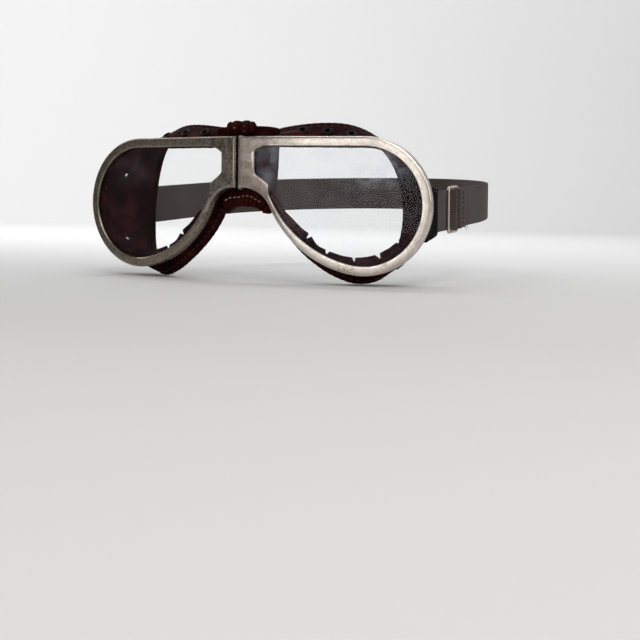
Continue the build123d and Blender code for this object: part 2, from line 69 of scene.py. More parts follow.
from dataclasses import dataclass
from enum import Enum

import bpy
import numpy as np
from mathutils import Matrix

log = logging.getLogger("goggles")
Array = np.ndarray
MM = 0.001


class Side(Enum):
    """The two halves, by the sign that X has on each."""

    LEFT = 1
    RIGHT = -1

    @property
    def word(self) -> str:
        """The name that the side has in pieces and bodies."""
        return self.name.lower()

    @property
    def body(self) -> str:
        """The moving body that the half's pieces ride on."""
        return f"{self.word}_half"


# Small tools for arrays of points


def heading(angle: float) -> Array:
    """The unit vector (cos, sin) of an angle in degrees."""
    return np.array([math.cos(math.radians(angle)), math.sin(math.radians(angle))])


def unit(vectors: Array) -> Array:
    """Every vector divided by its own length."""
    return vectors / np.maximum(np.linalg.norm(vectors, axis=-1, keepdims=True), 1e-9)


def arc(centre: Array, radius: float, start: float, end: float, count: int) -> Array:
    """Points on an arc, its end left out: the centre plus radius times (cos, sin).

    Args:
        centre: middle of the arc.
        radius: its radius.
        start: first angle, in degrees.
        end: last angle, in degrees.
        count: number of points.

    Returns:
        The points, one a row.
    """
    angles = np.radians(np.linspace(start, end, count, endpoint=False))
    return np.asarray(centre) + radius * np.stack([np.cos(angles), np.sin(angles)], axis=1)


def run(start: Sequence[float], end: Sequence[float], count: int) -> Array:
    """Evenly spaced points from start towards end, the end left out."""
    share = np.linspace(0, 1, count, endpoint=False)[:, None]
    return (1 - share) * np.asarray(start) + share * np.asarray(end)


def rounded(corners: Array, radius: float, count: int = 9) -> Array:
    """An open run of straight lines whose inner corners are arcs of one radius.

    Args:
        corners: the corner points.
        radius: radius of the arcs.
        count: points on each arc.

    Returns:
        The first corner, the points of each arc, and the last corner.
    """
    parts = [corners[:1]]
    for before, corner, after in zip(corners[:-2], corners[1:-1], corners[2:]):
        back, ahead = unit(before - corner), unit(after - corner)
        half = math.acos(float(np.clip(back @ ahead, -1, 1))) / 2
        middle = corner + unit(back + ahead) * radius / math.sin(half)
        first, last = (corner + way * radius / math.tan(half) - middle for way in (back, ahead))
        share = np.linspace(0, 1, count)[:, None]
        parts.append(middle + radius * unit((1 - share) * first + share * last))
    return np.concatenate([*parts, corners[-1:]])


def respaced(points: Array, count: int) -> Array:
    """The same run of points spread evenly along its length, both ends kept."""
    steps = np.linalg.norm(np.diff(points, axis=0), axis=1)
    length = np.concatenate([[0], np.cumsum(steps)])
    places = np.linspace(0, length[-1], count)
    return np.stack([np.interp(places, length, column) for column in points.T], axis=1)


def softened(points: Array, width: float, closed: bool) -> Array:
    """Points averaged with their neighbours along the first axis by a bell curve.

    Args:
        points: the points, along the first axis.
        width: spread of the bell curve, in points.
        closed: whether the run joins up with itself.

    Returns:
        The averaged points. The ends of an open run stay where they are.
    """
    reach = int(3 * width) + 1
    offsets = np.arange(-reach, reach + 1)
    weights = np.exp(-0.5 * (offsets / width) ** 2)
    padding = [(reach, reach)] + [(0, 0)] * (points.ndim - 1)
    if closed:
        padded = np.pad(points, padding, mode="wrap")
    else:
        padded = np.pad(points, padding, mode="reflect", reflect_type="odd")
    count = len(points)
    total = sum(w * padded[i : i + count] for i, w in enumerate(weights / weights.sum()))
    return total


def ripples(rows: int, cols: int, seed: int, finest: int, stretch: float = 1.0) -> Array:
    """A random field from -1 to 1 over a grid whose columns join up.

    It is a sum of cosine waves: each has a whole number of waves round the columns, some waves
    along the rows, a random phase, and a height that falls as the waves get finer.

    Args:
        rows: points along the open way.
        cols: points along the closed way.
        seed: start of the random draws.
        finest: most waves round the columns.
        stretch: how much finer the waves along the rows are.

    Returns:
        The field, rows by cols.
    """
    random = np.random.default_rng(seed)
    count = 48
    around = random.integers(1, finest + 1, count)
    along = random.normal(0, 1, count) * stretch
    phase = random.uniform(0, 2 * math.pi, count)
    height = 1 / np.sqrt(around)
    row = np.linspace(0, 1, rows)[:, None, None]
    col = np.linspace(0, 1, cols, endpoint=False)[None, :, None]
    waves = height * np.cos(2 * math.pi * (around * col + along * row) + phase)
    field = waves.sum(axis=2)
    return field / np.abs(field).max()


def grid(rows: int, cols: int, wrap_rows: bool, wrap_cols: bool) -> tuple[Array, Array]:
    """The quads of a grid of points.

    Args:
        rows: points along the first axis.
        cols: points along the second axis.
        wrap_rows: whether the last row joins the first.
        wrap_cols: whether the last column joins the first.

    Returns:
        The quads, and the place of each of their corners as shares of the columns and rows.
    """
    row_count = rows if wrap_rows else rows - 1
    col_count = cols if wrap_cols else cols - 1
    row, col = (a.ravel() for a in np.meshgrid(np.arange(row_count), np.arange(col_count), indexing="ij"))
    corner_row = np.stack([row, row, row + 1, row + 1], axis=1)
    corner_col = np.stack([col, col + 1, col + 1, col], axis=1)
    faces = (corner_row % rows) * cols + corner_col % cols
    return faces, np.stack([corner_col / col_count, corner_row / row_count], axis=2)


def tube(path: Array, across: Array, out: Array, section: Array) -> Array:
    """A section carried along a path: each point is the path plus its two parts of the section.

    Args:
        path: points of the path.
        across: direction of the section's first part at each of them, or one for all.
        out: direction of its second part.
        section: the section's points, as (first, second).

    Returns:
        The points, path by section.
    """
    across, out = np.broadcast_to(across, path.shape), np.broadcast_to(out, path.shape)
    first, second = section[None, :, :1], section[None, :, 1:]
    return path[:, None] + first * across[:, None] + second * out[:, None]


def strip_section(width: float, thickness: float, round_count: int = 4, flat_count: int = 8) -> Array:
    """A flat strip's section with half-round edges, as (across, out) points in order round it."""
    half, radius = width / 2 - thickness / 2, thickness / 2
    right = arc((half, 0), radius, -90, 90, round_count * 2)
    left = arc((-half, 0), radius, 90, 270, round_count * 2)
    top = run((half, radius), (-half, radius), flat_count)
    bottom = run((-half, -radius), (half, -radius), flat_count)
    return np.concatenate([right, top, left, bottom])


@dataclass
class Shape:
    """A mesh on its way to Blender: points in millimetres, faces, and what a finish reads."""

    points: Array
    faces: list[list[int]]
    corner_uv: Array | None = None
    masks: dict[str, Array] | None = None

    @classmethod
    def from_grid(cls, points: Array, wrap_rows: bool = False, wrap_cols: bool = True) -> "Shape":
        """Skin a grid of points, and close the open ends of a tube with flat caps.

        Args:
            points: rows by cols by 3.
            wrap_rows: whether the rows join up, as on a ring.
            wrap_cols: whether the columns join up, as on a tube.

        Returns:
            The shape, with UVs that run across and along it.
        """
        rows, cols = points.shape[:2]
        faces, corner_uv = grid(rows, cols, wrap_rows, wrap_cols)
        listed = faces.tolist()
        uv = corner_uv.reshape(-1, 2)
        if wrap_cols and not wrap_rows:
            first = list(range(cols))[::-1]
            last = list(range((rows - 1) * cols, rows * cols))
            listed += [first, last]
            around = np.arange(cols) / cols
            ends = [np.stack([around[::-1], 0 * around], 1), np.stack([around, 0 * around + 1], 1)]
            uv = np.concatenate([uv, *ends])
        return cls(points.reshape(-1, 3), listed, uv)

    @classmethod
    def joined(cls, shapes: Sequence["Shape"]) -> "Shape":
        """Several shapes as one, one after the other."""
        starts = np.cumsum([0] + [len(shape.points) for shape in shapes])
        faces = [[int(start) + i for i in face] for start, shape in zip(starts, shapes) for face in shape.faces]
        uvs = [shape.corner_uv for shape in shapes]
        uv = None if any(u is None for u in uvs) else np.concatenate(uvs)
        return cls(np.concatenate([shape.points for shape in shapes]), faces, uv)

    def mirrored(self, side: Side) -> "Shape":
        """The shape on the given side, from one made for the left."""
        if side is Side.LEFT:
            return self
        return Shape(self.points * [side.value, 1, 1], self.faces, self.corner_uv, self.masks)

    def volume(self) -> float:
        """Signed volume: the sum over fans of triangles of (a . b x c) / 6."""
        total = 0.0
        by_size: dict[int, list[list[int]]] = {}
        for face in self.faces:
            by_size.setdefault(len(face), []).append(face)
        for size, group in by_size.items():
            corners = self.points[np.array(group)]
            for k in range(1, size - 1):
                cross = np.cross(corners[:, k], corners[:, k + 1])
                total += float(np.einsum("ij,ij->", corners[:, 0], cross)) / 6
        return total

    def piece(self, name: str, finish: bpy.types.Material, sharp: float = 40) -> bpy.types.Object:
        """Store the shape as a Blender object with its faces pointing outwards.

        Args:
            name: name of the piece.
            finish: its material.
            sharp: angle between faces, in degrees, above which an edge looks sharp.

        Returns:
            The object, in the scene.
        """
        faces, uv = self.faces, self.corner_uv
        if self.volume() < 0:
            faces = [face[::-1] for face in faces]
            if uv is not None:
                ends = np.cumsum([len(face) for face in faces])
                order = np.concatenate([np.arange(end - 1, end - 1 - len(f), -1) for end, f in zip(ends, faces)])
                uv = uv[order]
        mesh = bpy.data.meshes.new(name)
        mesh.from_pydata((self.points * MM).tolist(), [], faces)
        if uv is not None:
            mesh.uv_layers.new(name="UVMap").data.foreach_set("uv", uv.ravel().astype(np.float32))
        for key, values in (self.masks or {}).items():
            mesh.attributes.new(key, "FLOAT", "POINT").data.foreach_set("value", values.astype(np.float32))
        mesh.polygons.foreach_set("use_smooth", np.ones(len(mesh.polygons), bool))
        mesh.set_sharp_from_angle(angle=math.radians(sharp))
        if finish is not None:
            mesh.materials.append(finish)
        mesh.validate()
        thing = bpy.data.objects.new(name, mesh)
        bpy.context.scene.collection.objects.link(thing)
        log.info("%s: %d faces", name, len(mesh.polygons))
        return thing


def settle(piece: bpy.types.Object, body: str, slot: str, *nodes: str) -> bpy.types.Object:
    """Let a piece ride on a body, and stand for the named nodes."""
    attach(piece, body)
    if nodes:
        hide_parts(*nodes)
    return piece


# The form of the halves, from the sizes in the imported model's source


@dataclass(frozen=True)
class LensPlane:
    """The plane of a lens: u runs out from the hinge edge, v up, depth back from the rim's front."""

    gap: float = 0.7
    bridge_depth: float = 14.0
    sweep: float = 8.9

    def place(self, outline: Array, depth: Array | float) -> Array:
        """Put (u, v) points at a depth in space, on the left half.

        Args:
            outline: points, with (u, v) along the last axis.
            depth: depth of each point, or one for all.

        Returns:
            The points as (x, y, z).
        """
        out, side = heading(self.sweep), heading(self.sweep + 90)
        u, v = outline[..., 0], outline[..., 1]
        x = self.gap + u * out[0] + depth * side[0]
        y = -self.bridge_depth + u * out[1] + depth * side[1]
        return np.stack([x, y, v + 0 * x], axis=-1)

    @property
    def front(self) -> Array:
        """The direction that the left lens faces."""
        side = heading(self.sweep + 90)
        return np.array([-side[0], -side[1], 0])


@dataclass(frozen=True)
class TearOutline:
    """A teardrop: round bowl, long chin arc, hollow arc over the nose, and a straight side."""

    bowl: tuple[float, float] = (58.0, 0.0)
    radius: float = 30.5
    chin: float = 52.0
    nose: float = 14.2
    nose_top: float = 7.5
    side: float = 0.0
    top: tuple[float, float] | None = None
    chin_angle: float = -101.2
    counts: tuple[int, int, int, int, int] = (96, 60, 36, 24, 72)

    def loop(self, inset: float, side: float | None = None) -> Array:
        """The outline set in by an amount, clockwise from the top of the bowl.

        Args:
            inset: how far inside its own sizes it is drawn.
            side: u of the straight side, if it isn't the side's own place set in.

        Returns:
            Closed loop of (u, v) points, with a set number on each of its five stretches.
        """
        centre, low = np.array(self.bowl), heading(self.chin_angle)
        chin_centre = centre - low * (self.chin - self.radius)
        nose_v = self.nose_top - self.nose
        reach = (self.chin + self.nose) ** 2 - (chin_centre[1] - nose_v) ** 2
        nose_u = chin_centre[0] - math.sqrt(reach)
        slope = math.atan2(nose_v - chin_centre[1], nose_u - chin_centre[0])
        toward_nose = math.degrees(slope) % 360 - 360
        hollow = self.nose + inset
        side_u = self.side + inset if side is None else side
        nose_end = math.degrees(math.acos(max(side_u - nose_u, 0) / hollow))
        top_angle = 90 if self.top is None else self.top[1]
        nose_start = toward_nose + 180
        low_corner = (side_u, nose_v + hollow * math.sin(math.radians(nose_end)))
        if self.top is None:
            high_corner = (side_u, centre[1] + self.radius - inset)
            top = run(high_corner, (centre[0], high_corner[1]), self.counts[4])
        else:
            top_radius = self.top[0] - inset
            top_centre = centre - heading(top_angle) * (self.top[0] - self.radius)
            top_end = math.degrees(math.acos((side_u - top_centre[0]) / top_radius))
            top = arc(top_centre, top_radius, top_end, top_angle, self.counts[4])
            high_corner = tuple(top[0])
        return np.concatenate(
            [
                arc(centre, self.radius - inset, top_angle, self.chin_angle, self.counts[0]),
                arc(chin_centre, self.chin - inset, self.chin_angle, toward_nose, self.counts[1]),
                arc((nose_u, nose_v), hollow, nose_start, nose_end, self.counts[2]),
                run(low_corner, high_corner, self.counts[3]),
                top,
            ]
        )


@dataclass(frozen=True)
class Opening:
    """The lens opening in a rim: bowl and chin arcs, and a step beside the hinge plate."""

    bowl: tuple[float, float] = (58.0, 0.0)
    radius: float = 26.2
    chin: float = 53.5
    plate_width: float = 7.8
    side_height: float = 12.2
    step: tuple[float, float] = (6.6, 4.6)
    corner: float = 2.7
    chin_angle: float = -101.2
    counts: tuple[int, int, int] = (96, 60, 132)

    def loop(self, inset: float) -> Array:
        """The opening's edge set in by an amount, clockwise from the top of the bowl."""
        centre, low = np.array(self.bowl), heading(self.chin_angle)
        radius, chin = self.radius - inset, self.chin - inset
        chin_centre = centre - low * (self.chin - self.radius)
        side_u = self.plate_width + inset
        step_u = side_u + self.step[0]
        side_v = self.radius - self.side_height
        chin_end = -math.degrees(math.acos((step_u - chin_centre[0]) / chin))
        foot = chin_centre + chin * heading(chin_end)
        corners = [foot, (step_u, side_v - self.step[1]), (side_u, side_v), (side_u, radius)]
        rest = rounded(np.array([*corners, (centre[0], radius)]), self.corner)
        return np.concatenate(
            [
                arc(centre, radius, 90, self.chin_angle, self.counts[0]),
                arc(chin_centre, chin, self.chin_angle, chin_end, self.counts[1]),
                respaced(rest, self.counts[2] + 1)[:-1],
            ]
        )


@dataclass(frozen=True)
class FaceForm:
    """The round form that the cups rest on: a cylinder that leans back."""

    radius: float = 86.5
    axis_side: float = 8.3
    axis_depth: float = 88.7
    tilt: float = -5.0
    height: float = -6.0

    def distance(self, points: Array) -> Array:
        """How far each point is from the cylinder's axis, square to it."""
        turn = math.radians(self.tilt)
        along = np.array([0, -math.sin(turn), math.cos(turn)])
        side = np.array([0, math.cos(turn), math.sin(turn)])
        foot = np.array([self.axis_side, 0, self.height]) + self.axis_depth * side
        arm = points - foot
        return np.linalg.norm(arm - (arm @ along)[..., None] * along, axis=-1)


@dataclass(frozen=True)
class CupForm:
    """The flaring form of a cup between the ring and the face."""

    plane: LensPlane = LensPlane()
    face: FaceForm = FaceForm()
    rim: TearOutline = TearOutline()
    flare: TearOutline = TearOutline((51.8, -1.2), 32.6, 40.0, 14.0, 12.0, 11.5, (82.0, 66.0))
    back: TearOutline = TearOutline((37.0, -1.2), 31.0, 33.0, 14.0, 14.0, 3.0, (80.0, 66.0))
    depths: tuple[float, float, float] = (7.0, 14.5, 31.0)
    neck_inset: float = 2.4
    neck_side: float = 4.3

    def section(self, inset: float, depth: Array) -> Array:
        """The cup's outline at each depth.

        Behind the neck, a point of the neck, of the flare and of the back outline are joined by
        the one parabola through all three; before it, the neck runs straight.

        Args:
            inset: how far inside the outer leather.
            depth: depths, rows by loop points, or one column for all.

        Returns:
            The (u, v) points, rows by loop points.
        """
        loops = [
            self.rim.loop(self.neck_inset + inset, self.neck_side + inset),
            self.flare.loop(inset),
            self.back.loop(inset),
        ]
        a, b, c = self.depths
        d = np.maximum(depth, a)
        weights = [
            (d - b) * (d - c) / ((a - b) * (a - c)),
            (d - a) * (d - c) / ((b - a) * (b - c)),
            (d - a) * (d - b) / ((c - a) * (c - b)),
        ]
        return sum(w[..., None] * loop for w, loop in zip(weights, loops))

    def surface(self, inset: float, start: float, rows: int, gap: float) -> Array:
        """Points of the cup's wall, from a depth back to a gap before the face.

        Args:
            inset: how far inside the outer leather.
            start: depth of the first row.
            rows: number of rows.
            gap: distance that the wall ends before the face form.

        Returns:
            The points, rows by loop points by 3.
        """
        deep = np.linspace(self.depths[0], self.depths[2] + 4, 160)[:, None]
        trial = self.plane.place(self.section(inset, deep), deep)
        inside = self.face.distance(trial) < self.face.radius + gap
        last = np.where(inside.any(0), inside.argmax(0), len(deep) - 1)
        end = softened(deep[last, 0], 1.5, True)
        depth = start + (end - start) * np.linspace(0, 1, rows)[:, None]
        return softened(self.plane.place(self.section(inset, depth), depth).swapaxes(0, 1), 1.2, True).swapaxes(0, 1)

    def outward(self, points: Array) -> Array:
        """The wall's outward direction at each point: the cross product of its two tangents."""
        round_way = np.roll(points, -1, axis=1) - np.roll(points, 1, axis=1)
        deep_way = np.gradient(points, axis=0)
        normal = unit(np.cross(round_way, deep_way))
        middle = points.mean(axis=1, keepdims=True)
        flip = np.sign((normal * (points - middle)).sum(axis=(1, 2), keepdims=True))
        return normal * flip


# Finishes


class Nodes:
    """Short calls that add and join the nodes of one tree."""

    def __init__(self, tree: bpy.types.NodeTree) -> None:
        """Work on the given tree."""
        self.tree = tree

    def join(self, socket: bpy.types.NodeSocket, value: object) -> None:
        """Link a socket to another, or give it a plain value."""
        if isinstance(value, bpy.types.NodeSocket):
            self.tree.links.new(value, socket)
        else:
            socket.default_value = value

    def add(self, kind: str, inputs: dict[str | int, object], **settings: object) -> bpy.types.Node:
        """Add a node.

        Args:
            kind: its type, without the leading "ShaderNode".
            inputs: what each input socket gets, by name or number.
            **settings: the node's own properties.

        Returns:
            The node.
        """
        node = self.tree.nodes.new(f"ShaderNode{kind}")
        for key, value in settings.items():
            setattr(node, key, value)
        for key, value in inputs.items():
            self.join(node.inputs[key], value)
        return node

    def sum(self, operation: str, first: object, second: object = 0.0) -> bpy.types.NodeSocket:
        """One step of arithmetic on two values."""
        return self.add("Math", {0: first, 1: second}, operation=operation).outputs[0]

    def mix(self, share: object, first: object, second: object) -> bpy.types.NodeSocket:
        """A colour between two others."""
        return self.add("Mix", {0: share, 6: first, 7: second}, data_type="RGBA").outputs[2]

    def band(self, value: object, low: object, high: object, start: float = 0.0, end: float = 1.0) -> bpy.types.NodeSocket:
        """A value stretched from low..high to start..end, held at both ends."""
        wanted = {"Value": value, "From Min": low, "From Max": high, "To Min": start, "To Max": end}
        return self.add("MapRange", wanted).outputs[0]

    def noise(self, vector: object, scale: object, detail: float = 3.0) -> bpy.types.NodeSocket:
        """Soft noise from 0 to 1."""
        return self.add("TexNoise", {"Vector": vector, "Scale": scale, "Detail": detail}).outputs[0]

    def here(self) -> bpy.types.NodeSocket:
        """Object coordinates, in metres."""
        return self.add("TexCoord", {}).outputs["Object"]


def new_group(name: str, inputs: dict[str, float], outputs: Sequence[str]) -> tuple[Nodes, bpy.types.Node, bpy.types.Node]:
    """Start a shader node group with named number sockets.

    Args:
        name: name of the group.
        inputs: its inputs and their usual values.
        outputs: its outputs.

    Returns:
        The maker of its nodes, and its input and output nodes.
    """
    tree = bpy.data.node_groups.new(name, "ShaderNodeTree")
    for key, value in inputs.items():
        tree.interface.new_socket(key, in_out="INPUT", socket_type="NodeSocketFloat").default_value = value
    for key in outputs:
        tree.interface.new_socket(key, in_out="OUTPUT", socket_type="NodeSocketFloat")
    return Nodes(tree), tree.nodes.new("NodeGroupInput"), tree.nodes.new("NodeGroupOutput")


def hide_grain() -> bpy.types.NodeTree:
    """Leather: pebbles from cells, creases where soft noise crosses its middle."""
    nodes, given, result = new_group("Hide grain", {"Pebbles": 1300.0, "Creases": 160.0}, ["Height", "Crease"])
    here = nodes.here()
    cells = nodes.add("TexVoronoi", {"Vector": here, "Scale": given.outputs[0]}, feature="SMOOTH_F1").outputs[0]
    soft = nodes.noise(here, given.outputs[1], 4.0)
    ridge = nodes.sum("ABSOLUTE", nodes.sum("SUBTRACT", soft, 0.5))
    crease = nodes.band(ridge, 0.0, 0.045, 1.0, 0.0)
    lumps = nodes.sum("MULTIPLY", nodes.sum("POWER", cells, 1.5), -0.35)
    deep = nodes.sum("MULTIPLY", crease, -0.55)
    nodes.join(result.inputs[0], nodes.sum("ADD", nodes.sum("ADD", lumps, deep), soft))
    nodes.join(result.inputs[1], crease)
    return nodes.tree


def rubbed_patches() -> bpy.types.NodeTree:
    """Wear, dust or stain: soft noise cut between two levels."""
    nodes, given, result = new_group("Rubbed patches", {"Scale": 40.0, "Low": 0.45, "High": 0.7}, ["Mask"])
    soft = nodes.noise(nodes.here(), given.outputs[0], 6.0)
    nodes.join(result.inputs[0], nodes.band(soft, given.outputs[1], given.outputs[2]))
    return nodes.tree


def fine_pits() -> bpy.types.NodeTree:
    """Small dark pits: the middles of cells, kept only where soft noise is high."""
    nodes, given, result = new_group("Fine pits", {"Scale": 420.0, "Size": 0.16}, ["Mask"])
    here = nodes.here()
    cells = nodes.add("TexVoronoi", {"Vector": here, "Scale": given.outputs[0]}).outputs[0]
    dots = nodes.band(cells, given.outputs[1], nodes.sum("MULTIPLY", given.outputs[1], 0.5))
    kept = nodes.band(nodes.noise(here, 70.0), 0.5, 0.62)
    nodes.join(result.inputs[0], nodes.sum("MULTIPLY", dots, kept))
    return nodes.tree


def web_weave() -> bpy.types.NodeTree:
    """Webbing on its own UVs: ribs along the strap, crossed by picks that step at every rib."""
    nodes, given, result = new_group("Web weave", {"Ribs": 44.0, "Picks": 120.0}, ["Height", "Pick"])
    across, along = nodes.add("SeparateXYZ", {0: nodes.add("TexCoord", {}).outputs["UV"]}).outputs[:2]
    ribs = nodes.sum("MULTIPLY", across, given.outputs[0])
    rib = nodes.sum("ABSOLUTE", nodes.sum("SINE", nodes.sum("MULTIPLY", ribs, math.pi)))
    step = nodes.sum("MULTIPLY", nodes.sum("FLOOR", ribs), 0.5)
    picks = nodes.sum("ADD", nodes.sum("MULTIPLY", along, given.outputs[1]), step)
    pick = nodes.sum("ABSOLUTE", nodes.sum("SINE", nodes.sum("MULTIPLY", picks, math.pi)))
    height = nodes.sum("ADD", nodes.sum("MULTIPLY", rib, 0.36), nodes.sum("MULTIPLY", pick, 0.64))
    nodes.join(result.inputs[0], height)
    nodes.join(result.inputs[1], pick)
    return nodes.tree


GRAIN, PATCHES, PITS, WEAVE = hide_grain(), rubbed_patches(), fine_pits(), web_weave()
Colour = tuple[float, float, float]


def solid(colour: Colour) -> tuple[float, float, float, float]:
    """A colour with its fourth value."""
    return (*colour, 1.0)


class Paint:
    """A new material: its nodes, its Principled shader and the shared effects."""

    def __init__(self, name: str) -> None:
        """Start the material."""
        self.material = bpy.data.materials.new(name)
        self.material.use_nodes = True
        self.nodes = Nodes(self.material.node_tree)
        self.shader = self.material.node_tree.nodes["Principled BSDF"]

    def set(self, **sockets: object) -> None:
        """Give the shader's sockets their values; an underscore stands for a space."""
        for key, value in sockets.items():
            self.nodes.join(self.shader.inputs[key.replace("_", " ")], value)

    def effect(self, tree: bpy.types.NodeTree, **inputs: float) -> bpy.types.Node:
        """Place a shared node group with its own values."""
        return self.nodes.add("Group", dict(inputs), node_tree=tree)

    def mask(self, name: str) -> bpy.types.NodeSocket:
        """A value stored on the piece's points."""
        return self.nodes.add("Attribute", {}, attribute_name=name).outputs["Fac"]

    def bump(self, height: bpy.types.NodeSocket, distance: float, strength: float = 1.0) -> None:
        """Raise the surface by a height.

        Args:
            height: the height, from 0 to 1.
            distance: how far 1 stands out, in metres.
            strength: how strongly it shows.
        """
        node = self.nodes.add("Bump", {"Height": height, "Distance": distance, "Strength": strength})
        self.set(Normal=node.outputs[0])


@dataclass(frozen=True)
class Plate:
    """Worn nickel plate: satin, dark in patches and pits, with mottling near the nose where its tone is also painted
    light, painted shade towards the temple when asked, and lighter edges that are partly rubbed wear and partly a
    painted highlight.
    """

    name: str
    colour: Colour = (0.7, 0.635, 0.57)
    dull: Colour = (0.17, 0.14, 0.118)
    # Tone near the nose: painted light, here painted shade by a darker colour; a lighter colour given instead is a
    # painted highlight.
    nose_mottle_and_painted_light: Colour = (0.22, 0.185, 0.165)
    # Colour of the rubbed edges: partly wear, partly a painted highlight along the rim's edges.
    edge_wear_and_highlight: Colour = (0.86, 0.8, 0.74)
    roughness: float = 0.27
    dulling: float = 0.26
    speckled: float = 0.2
    # Painted shade: how much darker the rim is made towards the temple.
    temple: float = 0.0
    rust: Colour = (0.2, 0.1, 0.055)
    rusted: float = 0.85

    def material(self) -> bpy.types.Material:
        """Build the finish."""
        paint = Paint(self.name)
        nodes = paint.nodes
        here = nodes.here()
        coarse = paint.effect(PATCHES, Scale=70.0, Low=0.42, High=0.7).outputs[0]
        fine = paint.effect(PATCHES, Scale=330.0, Low=0.4, High=0.68).outputs[0]
        # Near the nose the plate colour moves to the near-nose tone, which is painted light; the same mask also adds
        # mottling patches and speckle.
        nose_mottle_and_light = paint.mask("nose")
        plate = nodes.mix(nodes.sum("MULTIPLY", nose_mottle_and_light, 0.9), solid(self.colour), solid(self.nose_mottle_and_painted_light))
        patches = nodes.sum("ADD", nodes.sum("MULTIPLY", coarse, 0.4), nodes.sum("MULTIPLY", fine, 0.6))
        share = nodes.sum("ADD", self.dulling, nodes.sum("MULTIPLY", nose_mottle_and_light, 0.5))
        speckle = nodes.band(nodes.noise(here, 950.0, 3.0), 0.4, 0.64)
        grainy = nodes.sum("MULTIPLY", speckle, nodes.sum("ADD", self.speckled, nodes.sum("MULTIPLY", nose_mottle_and_light, 0.2)))
        worn = nodes.sum("ADD", nodes.sum("MULTIPLY", patches, share), grainy)
        # Darker on the rim's outer wall and where it turns into the face.
        worn = nodes.sum("ADD", worn, nodes.sum("MULTIPLY", paint.mask("wall"), 0.5))
        # Painted shade towards the temple, by the temple amount.
        worn = nodes.sum("ADD", worn, nodes.sum("MULTIPLY", paint.mask("temple"), self.temple))
        spots = nodes.band(nodes.noise(here, 1300.0, 2.0), 0.54, 0.6)
        rusty = nodes.sum("MULTIPLY", nodes.sum("MULTIPLY", paint.mask("rust"), spots), self.rusted)
        pits = paint.effect(PITS, Scale=560.0, Size=0.2).outputs[0]
        dark = nodes.sum("MAXIMUM", nodes.sum("MINIMUM", worn, 0.9), nodes.sum("MULTIPLY", pits, 0.85))
        # Edges are made lighter: rubbed wear and a painted highlight along them.
        rubbed = nodes.sum("MULTIPLY", paint.mask("edge"), nodes.band(nodes.noise(here, 190.0, 4.0), 0.3, 0.6))
        face = nodes.mix(dark, plate, solid(self.dull))
        paint.set(
            Base_Color=nodes.mix(rusty, nodes.mix(nodes.sum("MULTIPLY", rubbed, 0.7), face, solid(self.edge_wear_and_highlight)), solid(self.rust)),
            Metallic=1.0,
            Roughness=nodes.band(nodes.sum("SUBTRACT", dark, rubbed), -0.6, 0.9, self.roughness - 0.09, self.roughness + 0.2),
        )
        scuffs = nodes.noise(here, 1100.0, 2.0)
        dents = nodes.noise(here, 120.0, 2.0)
        height = nodes.sum("ADD", nodes.sum("MULTIPLY", scuffs, 0.3), nodes.sum("MULTIPLY", dents, 1.1))
        paint.bump(nodes.sum("SUBTRACT", height, pits), 0.00006, 0.6)
        return paint.material


@dataclass(frozen=True)
class Hide:
    """Leather: pebbled grain, creases darkened with painted shade, rubbed paler where it stands out."""

    name: str
    colour: Colour
    rubbed: Colour
    roughness: float = 0.48
    pebbles: float = 1500.0
    depth: float = 0.00022
    wear: float = 0.5
    shine: float = 0.16
    ior: float = 1.16

    def material(self) -> bpy.types.Material:
        """Build the finish."""
        paint = Paint(self.name)
        nodes = paint.nodes
        grain = paint.effect(GRAIN, Pebbles=self.pebbles, Creases=150.0)
        patches = paint.effect(PATCHES, Scale=55.0, Low=0.44, High=0.78).outputs[0]
        raised = nodes.sum("MULTIPLY", nodes.sum("ADD", paint.mask("raised"), patches), self.wear)
        face = nodes.mix(nodes.sum("MINIMUM", raised, 1.0), solid(self.colour), solid(self.rubbed))
        shade = tuple(0.35 * c for c in self.colour)
        # Painted shade: the grain's creases are coloured towards the shade colour.
        crease = nodes.sum("MULTIPLY", grain.outputs["Crease"], 0.7)
        paint.set(
            Base_Color=nodes.mix(crease, face, solid(shade)),
            Roughness=nodes.band(raised, 0.0, 1.0, self.roughness + 0.08, self.roughness - 0.1),
            Specular_IOR_Level=self.shine,
            IOR=self.ior,
        )
        paint.bump(grain.outputs["Height"], self.depth, 0.7)
        return paint.material


@dataclass(frozen=True)
class Pane:
    """Old clear glass: faintly milky, hazed in patches."""

    name: str
    tint: Colour = (0.9, 0.93, 0.97)
    haze: Colour = (0.55, 0.62, 0.74)

    def material(self) -> bpy.types.Material:
        """Build the finish."""
        paint = Paint(self.name)
        nodes = paint.nodes
        clouds = paint.effect(PATCHES, Scale=38.0, Low=0.5, High=0.85).outputs[0]
        paint.set(
            Base_Color=nodes.mix(clouds, solid((0.97, 0.98, 0.98)), solid(self.tint)),
            Roughness=nodes.band(clouds, 0.0, 1.0, 0.015, 0.06),
            IOR=1.15,
            Transmission_Weight=1.0,
        )
        return paint.material


